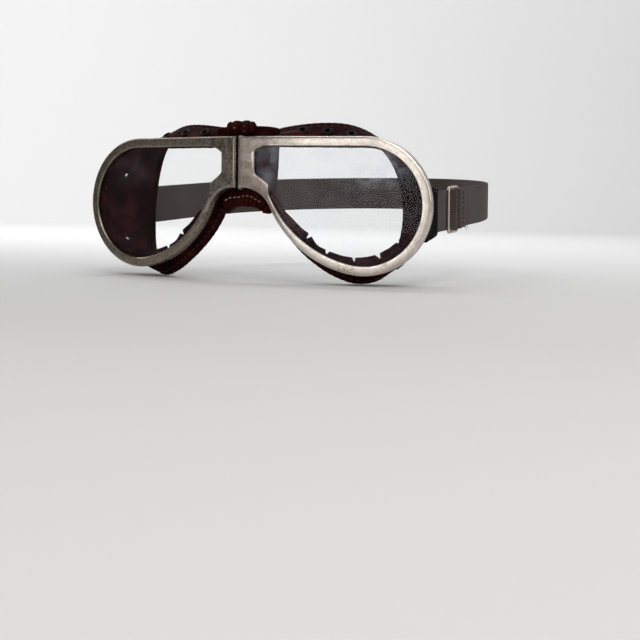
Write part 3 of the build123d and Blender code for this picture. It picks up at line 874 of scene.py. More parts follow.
@dataclass(frozen=True)
class Bloom:
    """Thin haze on old glass, with a painted reflection: bluish, only where the mask and soft streaks are strong."""

    name: str
    colour: Colour = (0.78, 0.83, 0.96)
    most: float = 0.17

    def material(self) -> bpy.types.Material:
        """Build the finish."""
        paint = Paint(self.name)
        nodes = paint.nodes
        here = nodes.here()
        streaks = nodes.band(nodes.noise(nodes.add("VectorMath", {0: here, 1: (60.0, 60.0, 240.0)}, operation="MULTIPLY").outputs[0], 1.0, 5.0), 0.4, 0.75)
        clouds = paint.effect(PATCHES, Scale=210.0, Low=0.42, High=0.7).outputs[0]
        specks = paint.effect(PITS, Scale=260.0, Size=0.07).outputs[0]
        # Painted reflection and haze: the bluish film's cover follows the mask, with dust specks on top.
        film = nodes.sum("MULTIPLY", paint.mask("film"), nodes.sum("ADD", nodes.sum("MULTIPLY", streaks, 0.5), clouds))
        cover = nodes.sum("MAXIMUM", nodes.sum("MULTIPLY", film, self.most), nodes.sum("MULTIPLY", specks, 0.12))
        paint.set(
            Base_Color=solid(self.colour),
            Roughness=0.7,
            Alpha=nodes.sum("MINIMUM", cover, 0.6),
        )
        return paint.material


@dataclass(frozen=True)
class Lacquer:
    """Black lacquer on small metal parts, chipped to the metal in places."""

    name: str

    def material(self) -> bpy.types.Material:
        """Build the finish."""
        paint = Paint(self.name)
        chips = paint.effect(PATCHES, Scale=320.0, Low=0.62, High=0.68).outputs[0]
        paint.set(
            Base_Color=paint.nodes.mix(chips, solid((0.003, 0.0022, 0.0022)), solid((0.04, 0.03, 0.022))),
            Roughness=paint.nodes.band(chips, 0.0, 1.0, 0.42, 0.6),
            Specular_IOR_Level=0.1,
        )
        paint.bump(chips, -0.00004)
        return paint.material


@dataclass(frozen=True)
class Webbing:
    """Elastic webbing: ribbed weave, grey-brown, with painted shade between the ribs and picks, and darker in soiled
    patches.
    """

    name: str
    colour: Colour = (0.082, 0.064, 0.056)
    # Dark colour: painted shade in the weave's low parts, and the colour of soiled patches.
    dark: Colour = (0.013, 0.0092, 0.009)
    ribs: float = 64.0
    picks: float = 120.0

    def material(self) -> bpy.types.Material:
        """Build the finish."""
        paint = Paint(self.name)
        nodes = paint.nodes
        weave = paint.effect(WEAVE, Ribs=self.ribs, Picks=self.picks)
        soiled = paint.effect(PATCHES, Scale=70.0, Low=0.42, High=0.75).outputs[0]
        # Painted shade: the weave's low parts take the dark colour, its high parts the lit yarn colour.
        lit = nodes.band(weave.outputs["Height"], 0.25, 0.8)
        yarn = nodes.mix(lit, solid(self.dark), solid(self.colour))
        paint.set(
            Base_Color=nodes.mix(nodes.sum("MULTIPLY", soiled, 0.45), yarn, solid(self.dark)),
            Roughness=0.88,
            Sheen_Weight=0.12,
            Specular_IOR_Level=0.15,
            IOR=1.25,
        )
        paint.bump(weave.outputs["Height"], 0.00025, 0.8)
        return paint.material


@dataclass(frozen=True)
class Yarn:
    """Sewing thread or loose yarn."""

    name: str
    colour: Colour

    def material(self) -> bpy.types.Material:
        """Build the finish."""
        paint = Paint(self.name)
        patches = paint.effect(PATCHES, Scale=160.0, Low=0.4, High=0.7).outputs[0]
        shade = tuple(0.5 * c for c in self.colour)
        paint.set(Base_Color=paint.nodes.mix(patches, solid(self.colour), solid(shade)), Roughness=0.8, Sheen_Weight=0.2)
        paint.bump(paint.nodes.noise(paint.nodes.here(), 2500.0, 1.0), 0.00006)
        return paint.material


@dataclass(frozen=True)
class Paper:
    """The pale floor and backdrop."""

    name: str = "pale_floor"

    def material(self) -> bpy.types.Material:
        """Build the finish."""
        paint = Paint(self.name)
        paint.set(Base_Color=solid((0.68, 0.675, 0.67)), Roughness=0.75, Specular_IOR_Level=0.2)
        return paint.material


class Finishes:
    """Every finish of the goggles, built once."""

    def __init__(self) -> None:
        """Build them all."""
        # The left rim's nickel: its darker tone near the nose is painted shade.
        nickel = Plate("worn_nickel_painted_light")
        # The right rim: the same nickel made darker, partly tarnish and partly painted shade, with painted shade
        # towards the temple and a lighter near-nose tone that is a painted highlight.
        tarnished_and_shaded = Plate(
            "tarnished_and_shaded_nickel",
            colour=(0.3, 0.255, 0.2),
            dull=(0.075, 0.058, 0.042),
            nose_mottle_and_painted_light=(0.36, 0.325, 0.28),
            edge_wear_and_highlight=(0.46, 0.415, 0.34),
            speckled=0.42,
            temple=0.45,
            rusted=0.0,
        )
        self.rims = {Side.LEFT: nickel.material(), Side.RIGHT: tarnished_and_shaded.material()}
        self.ring = Plate(
            "dull_nickel", colour=(0.3, 0.27, 0.24), dull=(0.1, 0.09, 0.08), roughness=0.4, dulling=0.6
        ).material()
        self.wire = Plate(
            "slider_nickel", colour=(0.62, 0.56, 0.47), dull=(0.3, 0.25, 0.2), roughness=0.24
        ).material()
        self.glass = Pane("old_glass").material()
        self.bloom = Bloom("lens_bloom").material()
        self.oxblood = Hide("oxblood_leather", (0.014, 0.0018, 0.002), (0.07, 0.0095, 0.0075)).material()
        self.lining = Hide("lining_leather", (0.02, 0.0036, 0.0052), (0.11, 0.028, 0.034), 0.55, 1500.0, 0.0003, 0.7).material()
        self.roll = Hide("roll_leather", (0.013, 0.0024, 0.0028), (0.045, 0.009, 0.0085), 0.42, 1700.0, 0.00014).material()
        self.tab = Hide("tab_leather", (0.0028, 0.0022, 0.0022), (0.012, 0.009, 0.0085), 0.45, 1500.0, 0.00012, shine=0.1).material()
        self.lacquer = Lacquer("black_lacquer").material()
        self.pale_thread = Yarn("pale_thread", (0.42, 0.36, 0.3)).material()
        self.dark_thread = Yarn("dark_thread", (0.015, 0.006, 0.006)).material()
        self.green_thread = Yarn("binding_thread", (0.2, 0.21, 0.17)).material()
        self.web_thread = Yarn("webbing_thread", (0.13, 0.065, 0.05)).material()


# Metal and glass


@dataclass(frozen=True)
class Rim:
    """A pressed rim: outer wall, rounded front edge, crowned face and bevelled opening."""

    depth: float = 4.6
    wall: float = 0.9
    edge: float = 1.25
    bevel: float = 0.35
    bar: float = 2.8
    bar_depth: float = 3.3
    crown: float = 0.06
    nose_mottle_and_painted_light_reach: float = 22.0
    rusty: tuple[float, float] = (51.0, -28.0)
    plane: LensPlane = LensPlane()
    outline: TearOutline = TearOutline()
    opening: Opening = Opening()

    def profile(self) -> list[tuple[Array, Array | float, float]]:
        """The rim's section all the way round: for each of its points a loop, a depth and a wear.

        The wall comes forward from its back edge, turns in a quarter circle, and becomes the face,
        whose crown is a parabola. The bevel leads into the opening, and the inside goes back.
        """
        hinge = slice(sum(self.outline.counts[:3]), sum(self.outline.counts[:4]) + 1)
        back = np.full(sum(self.outline.counts), self.depth)
        back[hinge] = self.bar_depth
        rows = [(self.outline.loop(0), back, -1.0), (self.outline.loop(0), (back + self.edge) / 2, -0.8)]
        for angle in np.radians(np.linspace(0, 90, 9)):
            inset = self.edge * (1 - math.cos(angle))
            rows.append((self.outline.loop(inset), self.edge * (1 - math.sin(angle)), math.sin(2 * angle) - 0.3))
        outer, inner = self.outline.loop(self.edge), self.opening.loop(-self.bevel)
        for share in (0.2, 0.4, 0.6, 0.8):
            rise = -4 * self.crown * share * (1 - share)
            rows.append(((1 - share) * outer + share * inner, rise, 0.0))
        rows.append((inner, 0.0, 0.8))
        rows.append((self.opening.loop(0), self.bevel, 0.6))
        rows.append((self.opening.loop(0), self.wall, 0.0))
        rows.append((self.outline.loop(self.wall, self.bar), self.wall, 0.0))
        rows.append((self.outline.loop(self.wall, self.bar), back, 0.0))
        return rows

    def shape(self) -> Shape:
        """The left rim, with its wear, its nearness to the nose (which carries painted light) and its temple side
        (which carries painted shade) stored on its points.
        """
        rows = self.profile()
        points = np.stack([self.plane.place(loop, depth) for loop, depth, _ in rows])
        shape = Shape.from_grid(points, wrap_rows=True)
        flat = np.stack([loop for loop, _, _ in rows])
        # The nose mask carries mottling and painted light, the temple mask painted shade.
        nose = np.exp(-((flat[..., 0] / self.nose_mottle_and_painted_light_reach) ** 4))
        rust = np.exp(-(np.linalg.norm(flat - np.array(self.rusty), axis=2) / 4.5) ** 4)
        temple = np.clip((flat[..., 0] - 55) / 30, 0, 1)
        edge = np.stack([np.full(len(loop), max(wear, 0)) for loop, _, wear in rows])
        wall = np.stack([np.full(len(loop), max(-wear, 0)) for loop, _, wear in rows])
        masks = {"nose": nose, "edge": edge, "wall": wall, "rust": rust, "temple": temple}
        shape.masks = {key: values.ravel() for key, values in masks.items()}
        return shape

    def build(self, side: Side, finishes: Finishes) -> None:
        """Make the rim of one half, and dress the metal and glass that the frame brings."""
        word = side.word
        rim = self.shape().mirrored(side).piece(f"{word}_rim_pressing", finishes.rims[side], 30)
        settle(rim, side.body, "rim_metal", f"{word}_rim")
        for node, finish in (("lens", finishes.glass), ("back_ring", finishes.ring), ("hinge_leaf", finishes.rims[side])):
            dress(f"{word}_{node}", finish)


@dataclass(frozen=True)
class Haze:
    """A film of old haze and painted reflection on the front of a lens, thicker along its top and at the temple."""

    plane: LensPlane = LensPlane()
    opening: Opening = Opening()
    depth: float = 0.86
    thickness: float = 0.02
    rings: int = 18
    # Spots of the film, as (across, up, width, height, strength): haze, and a painted reflection along the lens's top.
    spots: tuple[tuple[float, float, float, float, float], ...] = (
        (62.0, 17.0, 12.0, 8.0, 1.0), (40.0, 23.0, 14.0, 4.0, 0.6), (19.0, 22.0, 7.0, 4.5, 0.8), (14.0, 12.0, 3.5, 12.0, 0.45),
    )

    def build(self, side: Side, finishes: Finishes) -> None:
        """Make the film of one lens: rings that shrink towards a middle point, on both faces."""
        outline = self.opening.loop(0.05)
        middle = outline.mean(axis=0)
        shares = np.linspace(1, 0.06, self.rings)
        front = np.stack([middle + share * (outline - middle) for share in shares])
        flat = np.concatenate([front[::-1], front])
        depth = np.repeat([self.depth, self.depth + self.thickness], self.rings)[:, None]
        points = np.stack([self.plane.place(loop, far) for loop, far in zip(flat, depth)])
        shape = Shape.from_grid(points)
        film = np.full(flat.shape[:2], 0.05)
        for across, up, wide, tall, strength in self.spots:
            far = ((flat[..., 0] - across) / wide) ** 2 + ((flat[..., 1] - up) / tall) ** 2
            film = np.maximum(film, strength * np.exp(-far))
        # Painted reflection: the left lens gets the full film, the right lens about an eighth of it.
        shape.masks = {"film": (film * (1.0 if side is Side.LEFT else 0.12)).ravel()}
        film = shape.mirrored(side).piece(f"{side.word}_lens_bloom", finishes.bloom, 80)
        settle(film, side.body, "lens")


def dress(node: str, finish: bpy.types.Material) -> None:
    """Give a node of the frame a finish, in place of its plain one."""
    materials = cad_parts[node].data.materials
    materials.clear()
    materials.append(finish)
    log.info("%s: dressed", node)


@dataclass(frozen=True)
class Eyelet:
    """A rolled vent eyelet, turned about the line through its hole."""

    profile: tuple[tuple[float, float], ...] = (
        (1.15, -2.2), (1.55, -2.2), (1.6, -0.9), (1.75, -0.1), (2.3, -0.12), (2.5, 0.1),
        (2.42, 0.42), (2.1, 0.68), (1.7, 0.74), (1.36, 0.6), (1.18, 0.3),
    )
    steps: int = 36

    def shape(self, seat: Array, normal: Array) -> Shape:
        """One eyelet on a seat: each profile point (r, h) turned to seat + h n + r (a cos + b sin).

        Args:
            seat: where its line meets the leather.
            normal: the direction that it faces.

        Returns:
            The closed ring.
        """
        first = unit(np.cross(normal, [0.13, 0.21, 0.97]))
        second = np.cross(normal, first)
        outline = np.array([*self.profile, self.profile[0]])
        section = respaced(outline, 34)[:-1]
        section = softened(section, 0.7, True)
        angle = np.linspace(0, 2 * math.pi, self.steps, endpoint=False)[:, None]
        spoke = np.cos(angle) * first + np.sin(angle) * second
        points = seat + tube(np.zeros((self.steps, 3)), spoke, normal, section)
        return Shape.from_grid(points, wrap_rows=True)


# Leather


@dataclass(frozen=True)
class Seam:
    """A row of stitches: each is a short rounded bar that dips at both ends."""

    length: float = 1.9
    pitch: float = 2.9
    radius: float = 0.26
    lift: float = 0.12

    def shape(self, path: Array, normal: Array) -> Shape:
        """Stitches along a path on a surface.

        A stitch's middle line runs along the path and sinks at its ends as the square of the
        distance from its middle; its section is a circle that shrinks towards both ends.

        Args:
            path: points of the seam's line.
            normal: outward direction of the surface at each of them.

        Returns:
            All the stitches as one shape.
        """
        total = np.linalg.norm(np.diff(path, axis=0), axis=1).sum()
        count = max(int(total / self.pitch), 1)
        both = respaced(np.concatenate([path, normal], axis=1), 2 * count + 1)[1::2]
        middle, up = both[:, :3], unit(both[:, 3:])
        ahead = unit(np.gradient(middle, axis=0)) if count > 1 else unit(path[-1:] - path[:1])
        side = unit(np.cross(up, ahead))
        along = np.linspace(-1, 1, 7)
        size = self.radius * np.sqrt(np.clip(1.05 - along**2, 0.02, 1))
        angle = np.linspace(0, 2 * math.pi, 7, endpoint=False)
        ring = size[:, None] * np.cos(angle), size[:, None] * np.sin(angle)
        rise = self.lift - 0.9 * self.radius * along[:, None] ** 2 + ring[1]
        far = (along * self.length / 2)[:, None] + 0 * ring[0]
        parts = [far[..., None] * ahead[:, None, None], ring[0][..., None] * side[:, None, None]]
        points = middle[:, None, None] + sum(parts) + rise[..., None] * up[:, None, None]
        return Shape.joined([Shape.from_grid(one) for one in points])


@dataclass(frozen=True)
class Cup:
    """A leather cup: creased outer leather, lining, padded roll, eyelets and seams."""

    form: CupForm = CupForm()
    leather: float = 1.2
    ply_gap: float = 0.05
    lining: float = 0.7
    start: float = 3.45
    rows: int = 64
    crumple: float = 0.8
    folds: tuple[tuple[float, float, float, float], ...] = ()
    roll_gap: float = 3.0
    hole: float = 1.5
    eyelet_seats: tuple[tuple[float, float, float], ...] = ((11.5, 27.0, 90.0), (11.5, 38.5, 90.0), (11.5, 49.5, 90.0))
    temple_angles: tuple[float, ...] = (29.0, -31.0, -50.0)
    temple_depth: float = 15.5

    def push(self, seed: int) -> Array:
        """How far the leather stands out or in: broad waves with sharp valleys, none at the ring.

        Args:
            seed: start of the random draws.

        Returns:
            The distance at each point of the wall.
        """
        cols = sum(self.form.rim.counts)
        broad = ripples(self.rows, cols, seed, 9, 0.9)
        sharp = 1 - 2 * np.abs(ripples(self.rows, cols, seed + 1, 22, 1.6)) ** 0.55
        share = np.linspace(0, 1, self.rows)[:, None]
        hold = np.sin(math.pi * np.clip((share - 0.14) / 0.86, 0, 1)) ** 0.8
        push = self.crumple * hold * (0.75 * broad - 0.35 * np.clip(sharp, 0, 1))
        loop = self.form.rim.loop(0)
        upper = np.clip((loop[:, 1] - 8) / 6, 0, 1)
        for across, along, reach, height in self.folds:
            bell = np.exp(-(((loop[:, 0] - across) / reach) ** 2)) * upper
            push = push + height * bell[None, :] * np.exp(-(((share - along) / 0.24) ** 2))
        return push

    def wall(self, outer: float, inner: float, start: float, push: Array) -> Shape:
        """A layer of the wall: its outer face, then its inner face back to the start.

        Args:
            outer: inset of the outer face.
            inner: inset of the inner face.
            start: depth where the layer starts.
            push: how far the wall stands out at each point.

        Returns:
            The closed layer.
        """
        front = self.form.surface(outer, start, self.rows, self.roll_gap)
        back = self.form.surface(inner, start, self.rows, self.roll_gap)
        shift = push[..., None] * self.form.outward(front)
        points = np.concatenate([front + shift, (back + shift)[::-1]])
        shape = Shape.from_grid(points, wrap_rows=True)
        raised = np.clip(push / self.crumple, 0, 1)
        shape.masks = {"raised": np.concatenate([raised, raised[::-1]]).ravel()}
        return shape

    def roll(self, push: Array) -> Shape:
        """The padded roll: an ellipse carried round the wall's edge, puckered by its stitches."""
        outer = self.form.surface(0, self.start, self.rows, self.roll_gap)
        inner = self.form.surface(self.leather + self.ply_gap + self.lining, self.start, self.rows, self.roll_gap)
        along = unit(outer[-1] - outer[-3])
        across = unit(outer[-1] - inner[-1])
        middle = (outer[-1] + inner[-1]) / 2 + 1.35 * along + push[-2][:, None] * across
        angle = np.linspace(0, 2 * math.pi, 20, endpoint=False)
        count = len(middle)
        pucker = 1 + 0.035 * np.cos(2 * math.pi * 74 * np.arange(count) / count)
        wander = 1 + 0.05 * ripples(1, count, 91, 20)[0]
        size = (pucker * wander)[:, None, None]
        section = np.stack([1.72 * np.cos(angle), 1.62 * np.sin(angle)], axis=1)
        points = middle[:, None] + size * tube(np.zeros_like(middle), across, along, section)
        shape = Shape.from_grid(points, wrap_rows=True)
        shape.masks = {"raised": np.tile(np.clip(-np.sin(angle) * 0 + np.abs(np.sin(angle)), 0, 1), count)}
        return shape

    def seats(self, skin: Array, outward: Array) -> list[tuple[Array, Array]]:
        """Where the eyelets sit: the points of the pushed skin nearest to their lines.

        Args:
            skin: points of the outer leather.
            outward: its outward directions.

        Returns:
            The seat and normal of each eyelet.
        """
        flat, normals = skin.reshape(-1, 3), outward.reshape(-1, 3)
        aims = []
        for depth, offset, _ in self.eyelet_seats:
            loop = self.form.section(0, np.array([[depth]]))[0]
            upper = loop[loop[:, 1] > 15]
            order = np.argsort(upper[:, 0])
            aims.append(((offset, np.interp(offset, upper[order, 0], upper[order, 1])), depth))
        loop = self.form.section(0, np.array([[self.temple_depth]]))[0]
        arm = loop - np.array(self.form.flare.bowl)
        bearing = np.degrees(np.arctan2(arm[:, 1], arm[:, 0]))
        for angle in self.temple_angles:
            nearest = loop[np.abs(bearing - angle).argmin()]
            aims.append((tuple(nearest), self.temple_depth))
        found = []
        for outline, depth in aims:
            aim = self.form.plane.place(np.array(outline), depth)
            index = np.linalg.norm(flat - aim, axis=1).argmin()
            found.append((flat[index], normals[index]))
        return found

    def drill(self, piece: bpy.types.Object, seats: list[tuple[Array, Array]], side: Side) -> None:
        """Cut the vent holes through a layer: a cylinder along each eyelet's line is taken away.

        Args:
            piece: the layer.
            seats: seat and normal of each eyelet, on the left half.
            side: the half that the layer belongs to.
        """
        angle = np.linspace(0, 2 * math.pi, 28, endpoint=False)
        ring = self.hole * np.stack([np.cos(angle), np.sin(angle)], axis=1)
        plugs = []
        for seat, normal in seats:
            first = unit(np.cross(normal, [0.13, 0.21, 0.97]))
            path = seat + np.array([[-4.0], [2.0]]) * normal
            plugs.append(Shape.from_grid(tube(path, first, np.cross(normal, first), ring)))
        plug = Shape.joined(plugs).mirrored(side).piece("vent_plugs", None)
        cut = piece.modifiers.new("vents", "BOOLEAN")
        cut.operation, cut.solver, cut.object = "DIFFERENCE", "MANIFOLD", plug
        drilled = bpy.data.meshes.new_from_object(piece.evaluated_get(bpy.context.evaluated_depsgraph_get()))
        old, piece.data = piece.data, drilled
        piece.modifiers.clear()
        drilled.name = old.name
        bpy.data.meshes.remove(old)
        bpy.data.objects.remove(plug)
        log.info("%s: drilled to %d faces", piece.name, len(drilled.polygons))

    def build(self, side: Side, seed: int, finishes: Finishes) -> None:
        """Make every leather piece of one cup, with its eyelets and seams.

        Args:
            side: the half that it belongs to.
            seed: start of its random draws.
            finishes: the finishes.
        """
        word, body = side.word, side.body
        push = self.push(seed)
        inner = self.leather + self.ply_gap
        surface = self.form.surface(0, self.start, self.rows, self.roll_gap)
        outward = self.form.outward(surface)
        surface = surface + push[..., None] * outward
        seats = self.seats(surface, outward)
        skin = self.wall(0, self.leather, self.start, push).mirrored(side)
        skin = skin.piece(f"{word}_cup_leather", finishes.oxblood, 60)
        lining = self.wall(inner, inner + self.lining, self.start, push).mirrored(side)
        lining = lining.piece(f"{word}_cup_lining", finishes.lining, 60)
        for layer in (skin, lining):
            self.drill(layer, seats, side)
        settle(skin, body, "leather", f"{word}_cup")
        settle(lining, body, "lining", f"{word}_lining")
        roll = self.roll(push).mirrored(side).piece(f"{word}_face_roll", finishes.roll, 80)
        settle(roll, body, "leather", f"{word}_edge_roll")
        eyelets = [Eyelet().shape(seat, normal) for seat, normal in seats]
        rings = Shape.joined(eyelets).mirrored(side).piece(f"{word}_eyelets", finishes.lacquer)
        settle(rings, body, "eyelet", f"{word}_vent_eyelets")
        row = -4
        closed = np.concatenate([surface[row], surface[row][:1]])
        seam = Seam(2.1, 3.1, 0.2).shape(closed, np.concatenate([outward[row], outward[row][:1]]))
        settle(seam.mirrored(side).piece(f"{word}_roll_seam", finishes.dark_thread), body, "leather")


@dataclass(frozen=True)
class Hem:
    """The lining's turned-in hem behind the lens, cut with V notches and slightly curled."""

    plane: LensPlane = LensPlane()
    rim: TearOutline = TearOutline()
    opening: Opening = Opening()
    hub: tuple[float, float] = (50.0, 2.0)
    pocket: tuple[float, float] = (1.15, 3.05)
    margin: float = 0.6
    reach: tuple[float, float] = (3.4, 3.8)
    depth: float = 2.78
    thickness: float = 0.55
    notch: tuple[float, float] = (0.95, 2.4)
    bowl_notches: tuple[float, ...] = (-92.0, -68.0, -45.0, -22.0, 2.0)
    chin_notches: tuple[float, ...] = (-110.0, -122.0)
    nose_side: tuple[float, float, float] = (-153.0, 24.0, 3.1)
    count: int = 900

    def reached(self, loop: Array, bearing: Array) -> Array:
        """How far a loop is from the hub in each direction, read between its own points."""
        arm = loop - np.array(self.hub)
        angle = np.arctan2(arm[:, 1], arm[:, 0])
        order = np.argsort(angle)
        far = np.linalg.norm(arm, axis=1)[order]
        return np.interp(bearing, angle[order], far, period=2 * math.pi)

    def shape(self, seed: int) -> Shape:
        """The left hem: a flat band between the pocket's edge and the notched inner edge.

        Args:
            seed: start of the random draws, which curl the edge and vary the notches.

        Returns:
            The closed band.
        """
        random = np.random.default_rng(seed)
        bearing = np.linspace(-math.pi, math.pi, self.count, endpoint=False)
        outer = self.reached(self.rim.loop(*self.pocket), bearing)
        shifted = self.opening.loop(0) + np.array([-self.reach[0], self.reach[1]])
        inner = np.minimum(self.reached(self.opening.loop(self.margin), bearing), self.reached(shifted, bearing))
        middle, spread, wide = self.nose_side
        inner = inner - wide * np.exp(-(((np.degrees(bearing) - middle + 180) % 360 - 180) / spread) ** 4)
        centre = np.array(self.opening.bowl) + np.array([-self.reach[0], self.reach[1]])
        chin_centre = centre - heading(self.opening.chin_angle) * (self.opening.chin - self.opening.radius)
        marks = [centre + self.opening.radius * heading(a) for a in self.bowl_notches]
        marks += [chin_centre + self.opening.chin * heading(a) for a in self.chin_notches]
        arms = np.array(marks) - np.array(self.hub)
        edge = inner.copy()
        for arm in arms:
            away = (bearing - math.atan2(arm[1], arm[0]) + math.pi) % (2 * math.pi) - math.pi
            half = self.notch[0] * random.uniform(0.7, 1.3)
            deep = self.notch[1] * random.uniform(0.75, 1.2)
            edge += deep * np.clip(1 - np.abs(away) * inner / half, 0, 1)
        edge = edge + 0.18 * ripples(1, self.count, seed + 5, 60)[0]
        edge = np.minimum(edge, outer - 0.4)
        curl = 0.45 + 0.35 * ripples(1, self.count, seed + 7, 24)[0]
        spoke = np.stack([np.cos(bearing), np.sin(bearing)], axis=1)
        rows = []
        for share, back in ((0, 0), (0.3, 0), (0.6, 0), (0.8, 0), (0.93, 0), (1, 0.5), (0.93, 1), (0.8, 1), (0.4, 1), (0, 1)):
            far = (outer + (edge - outer) * share)[:, None]
            depth = self.depth + self.thickness * back + curl * share**3
            rows.append(self.plane.place(np.array(self.hub) + far * spoke, depth))
        return Shape.from_grid(np.stack(rows), wrap_rows=True)

    def build(self, side: Side, seed: int, finishes: Finishes) -> None:
        """Make the hem of one cup."""
        hem = self.shape(seed).mirrored(side).piece(f"{side.word}_lining_hem", finishes.lining, 50)
        settle(hem, side.body, "lining")



@dataclass(frozen=True)
class SoftCopy:
    """A soft leather piece shaped from the solid that it stands for.

    The solid's triangles are merged, remeshed with small cubes and smoothed, which rounds every
    edge as leather does.
    """

    node: str
    voxel: float = 0.45
    passes: int = 5

    def points_and_faces(self) -> tuple[Array, Array, list[list[int]]]:
        """The rounded form.

        Returns:
            Its points and outward directions, in millimetres, and its faces.
        """
        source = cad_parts[self.node]
        copy = bpy.data.objects.new(f"{self.node}_form", source.data.copy())
        bpy.context.scene.collection.objects.link(copy)
        weld = copy.modifiers.new("weld", "WELD")
        weld.merge_threshold = 0.00001
        remesh = copy.modifiers.new("remesh", "REMESH")
        remesh.mode = "VOXEL"
        remesh.voxel_size = self.voxel * MM
        smooth = copy.modifiers.new("smooth", "SMOOTH")
        smooth.factor, smooth.iterations = 0.5, self.passes
        mesh = bpy.data.meshes.new_from_object(copy.evaluated_get(bpy.context.evaluated_depsgraph_get()))
        points = np.empty(len(mesh.vertices) * 3, np.float32)
        mesh.vertices.foreach_get("co", points)
        normals = np.empty(len(mesh.vertices) * 3, np.float32)
        mesh.vertex_normals.foreach_get("vector", normals)
        faces = [list(face.vertices) for face in mesh.polygons]
        bpy.data.objects.remove(copy)
        bpy.data.meshes.remove(mesh)
        return points.reshape(-1, 3).astype(float) / MM, normals.reshape(-1, 3).astype(float), faces


@dataclass(frozen=True)
class Bridge:
    """The soft bridge: a gathered nose piece and a bound roll on top of it."""

    half_width: float = 7.0
    radius: float = 3.1
    end_radius: float = 2.3
    axis_y: float = -8.8
    axis_z: float = 34.5
    scallops: int = 3
    arch_radius: float = 12.0
    arch_top: float = 1.5

    def blend_over(self, piece: bpy.types.Object) -> None:
        """Bake the piece's transform into its mesh."""
        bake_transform(piece)

    def roll(self) -> Shape:
        """The bound roll: a barrel along X, scalloped between its bindings and pleated lengthways.

        Its radius is the barrel's, less a dip at each binding, times a few waves round it.
        """
        rows, cols = 120, 60
        x = np.linspace(-1, 1, rows)[:, None]
        angle = np.linspace(0, 2 * math.pi, cols, endpoint=False)[None, :]
        barrel = self.radius - (self.radius - self.end_radius) * np.abs(x) ** 3
        dip = 0.62 * np.abs(np.cos(math.pi * x * self.scallops / 2)) ** 8
        pleats = 0.16 * np.cos(9 * angle + 2.2 * x) + 0.1 * np.cos(14 * angle - 3 * x + 1)
        size = barrel - dip + pleats * (1 - np.abs(x) ** 4) + 0.12 * ripples(rows, cols, 12, 12, 2.0)
        size = size * np.sqrt(np.clip(1 - (np.abs(x) - 0.86).clip(0) ** 2 / 0.14**2 * 0.75, 0.05, 1))
        y, z = self.axis_y + size * np.cos(angle), self.axis_z + size * np.sin(angle)
        points = np.stack([x * self.half_width + 0 * angle, y, z], axis=2)
        shape = Shape.from_grid(points)
        shape.masks = {"raised": np.clip((size - barrel + 0.5), 0, 1).ravel()}
        return shape

    def bindings(self) -> Shape:
        """Three turns of thread in each groove of the roll, each a thin slanted ring."""
        rings = []
        angle = np.linspace(0, 2 * math.pi, 40, endpoint=False)
        section = 0.2 * np.stack([np.cos(angle[::5]), np.sin(angle[::5])], axis=1)
        for groove in (-1 / 3, 1 / 3):
            for turn in (-0.42, 0.0, 0.42):
                size = self.radius - 0.36
                spoke = np.stack([0 * angle, np.cos(angle), np.sin(angle)], axis=1)
                slant = turn + 0.18 * np.sin(angle + 2 * turn)
                path = size * spoke + np.array([self.half_width * groove, self.axis_y, self.axis_z])
                path[:, 0] += slant
                rings.append(Shape.from_grid(tube(path, spoke, np.array([1.0, 0, 0]), section), wrap_rows=True))
        return Shape.joined(rings)

    def nose_piece(self) -> tuple[Shape, Array, Array]:
        """The nose piece, gathered towards its lower edge, and the line of its stitches.

        Pleats are waves along X, strongest at the arch and fading upwards as a bell curve.

        Returns:
            The shape, the seam's path and the seam's outward directions.
        """
        points, normals, faces = SoftCopy("nose_piece").points_and_faces()
        out_share = np.clip((np.abs(points[:, 0]) - 7) / 5, 0, 1) ** 2
        high_share = np.clip((points[:, 2] - 24) / 6, 0, 1)
        points[:, 0] += np.sign(points[:, 0]) * 3.4 * out_share * high_share
        points[:, 2] -= 0.9 * out_share * high_share
        centre_z = self.arch_top - self.arch_radius

        def sag(x: Array, out: Array) -> Array:
            """How far the arch's middle hangs: a bell across, fading away from the lower edge."""
            return 2.3 * np.exp(-((x / 8.5) ** 2)) * np.clip(1 - out / 6, 0, 1)

        out = np.hypot(points[:, 0], points[:, 2] - centre_z) - self.arch_radius
        turn = np.degrees(np.arctan2(points[:, 0], points[:, 2] - centre_z))
        fade = np.exp(-((out - 2.2) / 2.6) ** 2)
        pleat = np.cos(2 * math.pi * turn / 8.0 + 1.3 * np.sin(points[:, 1] / 2)) + 0.5 * np.cos(turn / 2.1 + 1)
        slow = np.sin(points[:, 0] / 2.3 + 0.4 * points[:, 2]) * np.cos(points[:, 2] / 3.1)
        push = 0.42 * fade * pleat + 0.2 * slow * (1 - fade)
        points[:, 2] -= sag(points[:, 0], out)
        shape = Shape(points + push[:, None] * normals, faces)
        shape.masks = {"raised": np.clip(push / 0.25, 0, 1)}
        angle = np.radians(np.linspace(-38, 38, 60))
        out = 3.3 + 0.25 * np.sin(9 * angle)
        radius = self.arch_radius + out
        front = points[:, 1].min() - 0.05
        x, z = radius * np.sin(angle), centre_z + radius * np.cos(angle)
        path = np.stack([x, 0 * angle + front, z - sag(x, out)], axis=1)
        return shape, path, np.tile([0.0, -1.0, 0.0], (len(path), 1))

    def build(self, finishes: Finishes) -> None:
        """Make the bridge's pieces, and dress the hinge pin."""
        roll = self.roll().piece("bridge_gather", finishes.oxblood, 80)
        shape, path, normal = self.nose_piece()
        pad = shape.piece("nose_leather", finishes.oxblood, 80)
        binding = self.bindings().piece("bridge_binding", finishes.green_thread)
        seam = Seam(1.5, 2.1, 0.24, 0.2).shape(path, normal).piece("nose_stitches", finishes.pale_thread)
        for piece, node in ((roll, "bridge_roll"), (pad, "nose_piece"), (binding, None), (seam, None)):
            if node:
                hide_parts(node)
            self.blend_over(piece)
        dress("hinge_pin", finishes.rims[Side.RIGHT])


# Strap


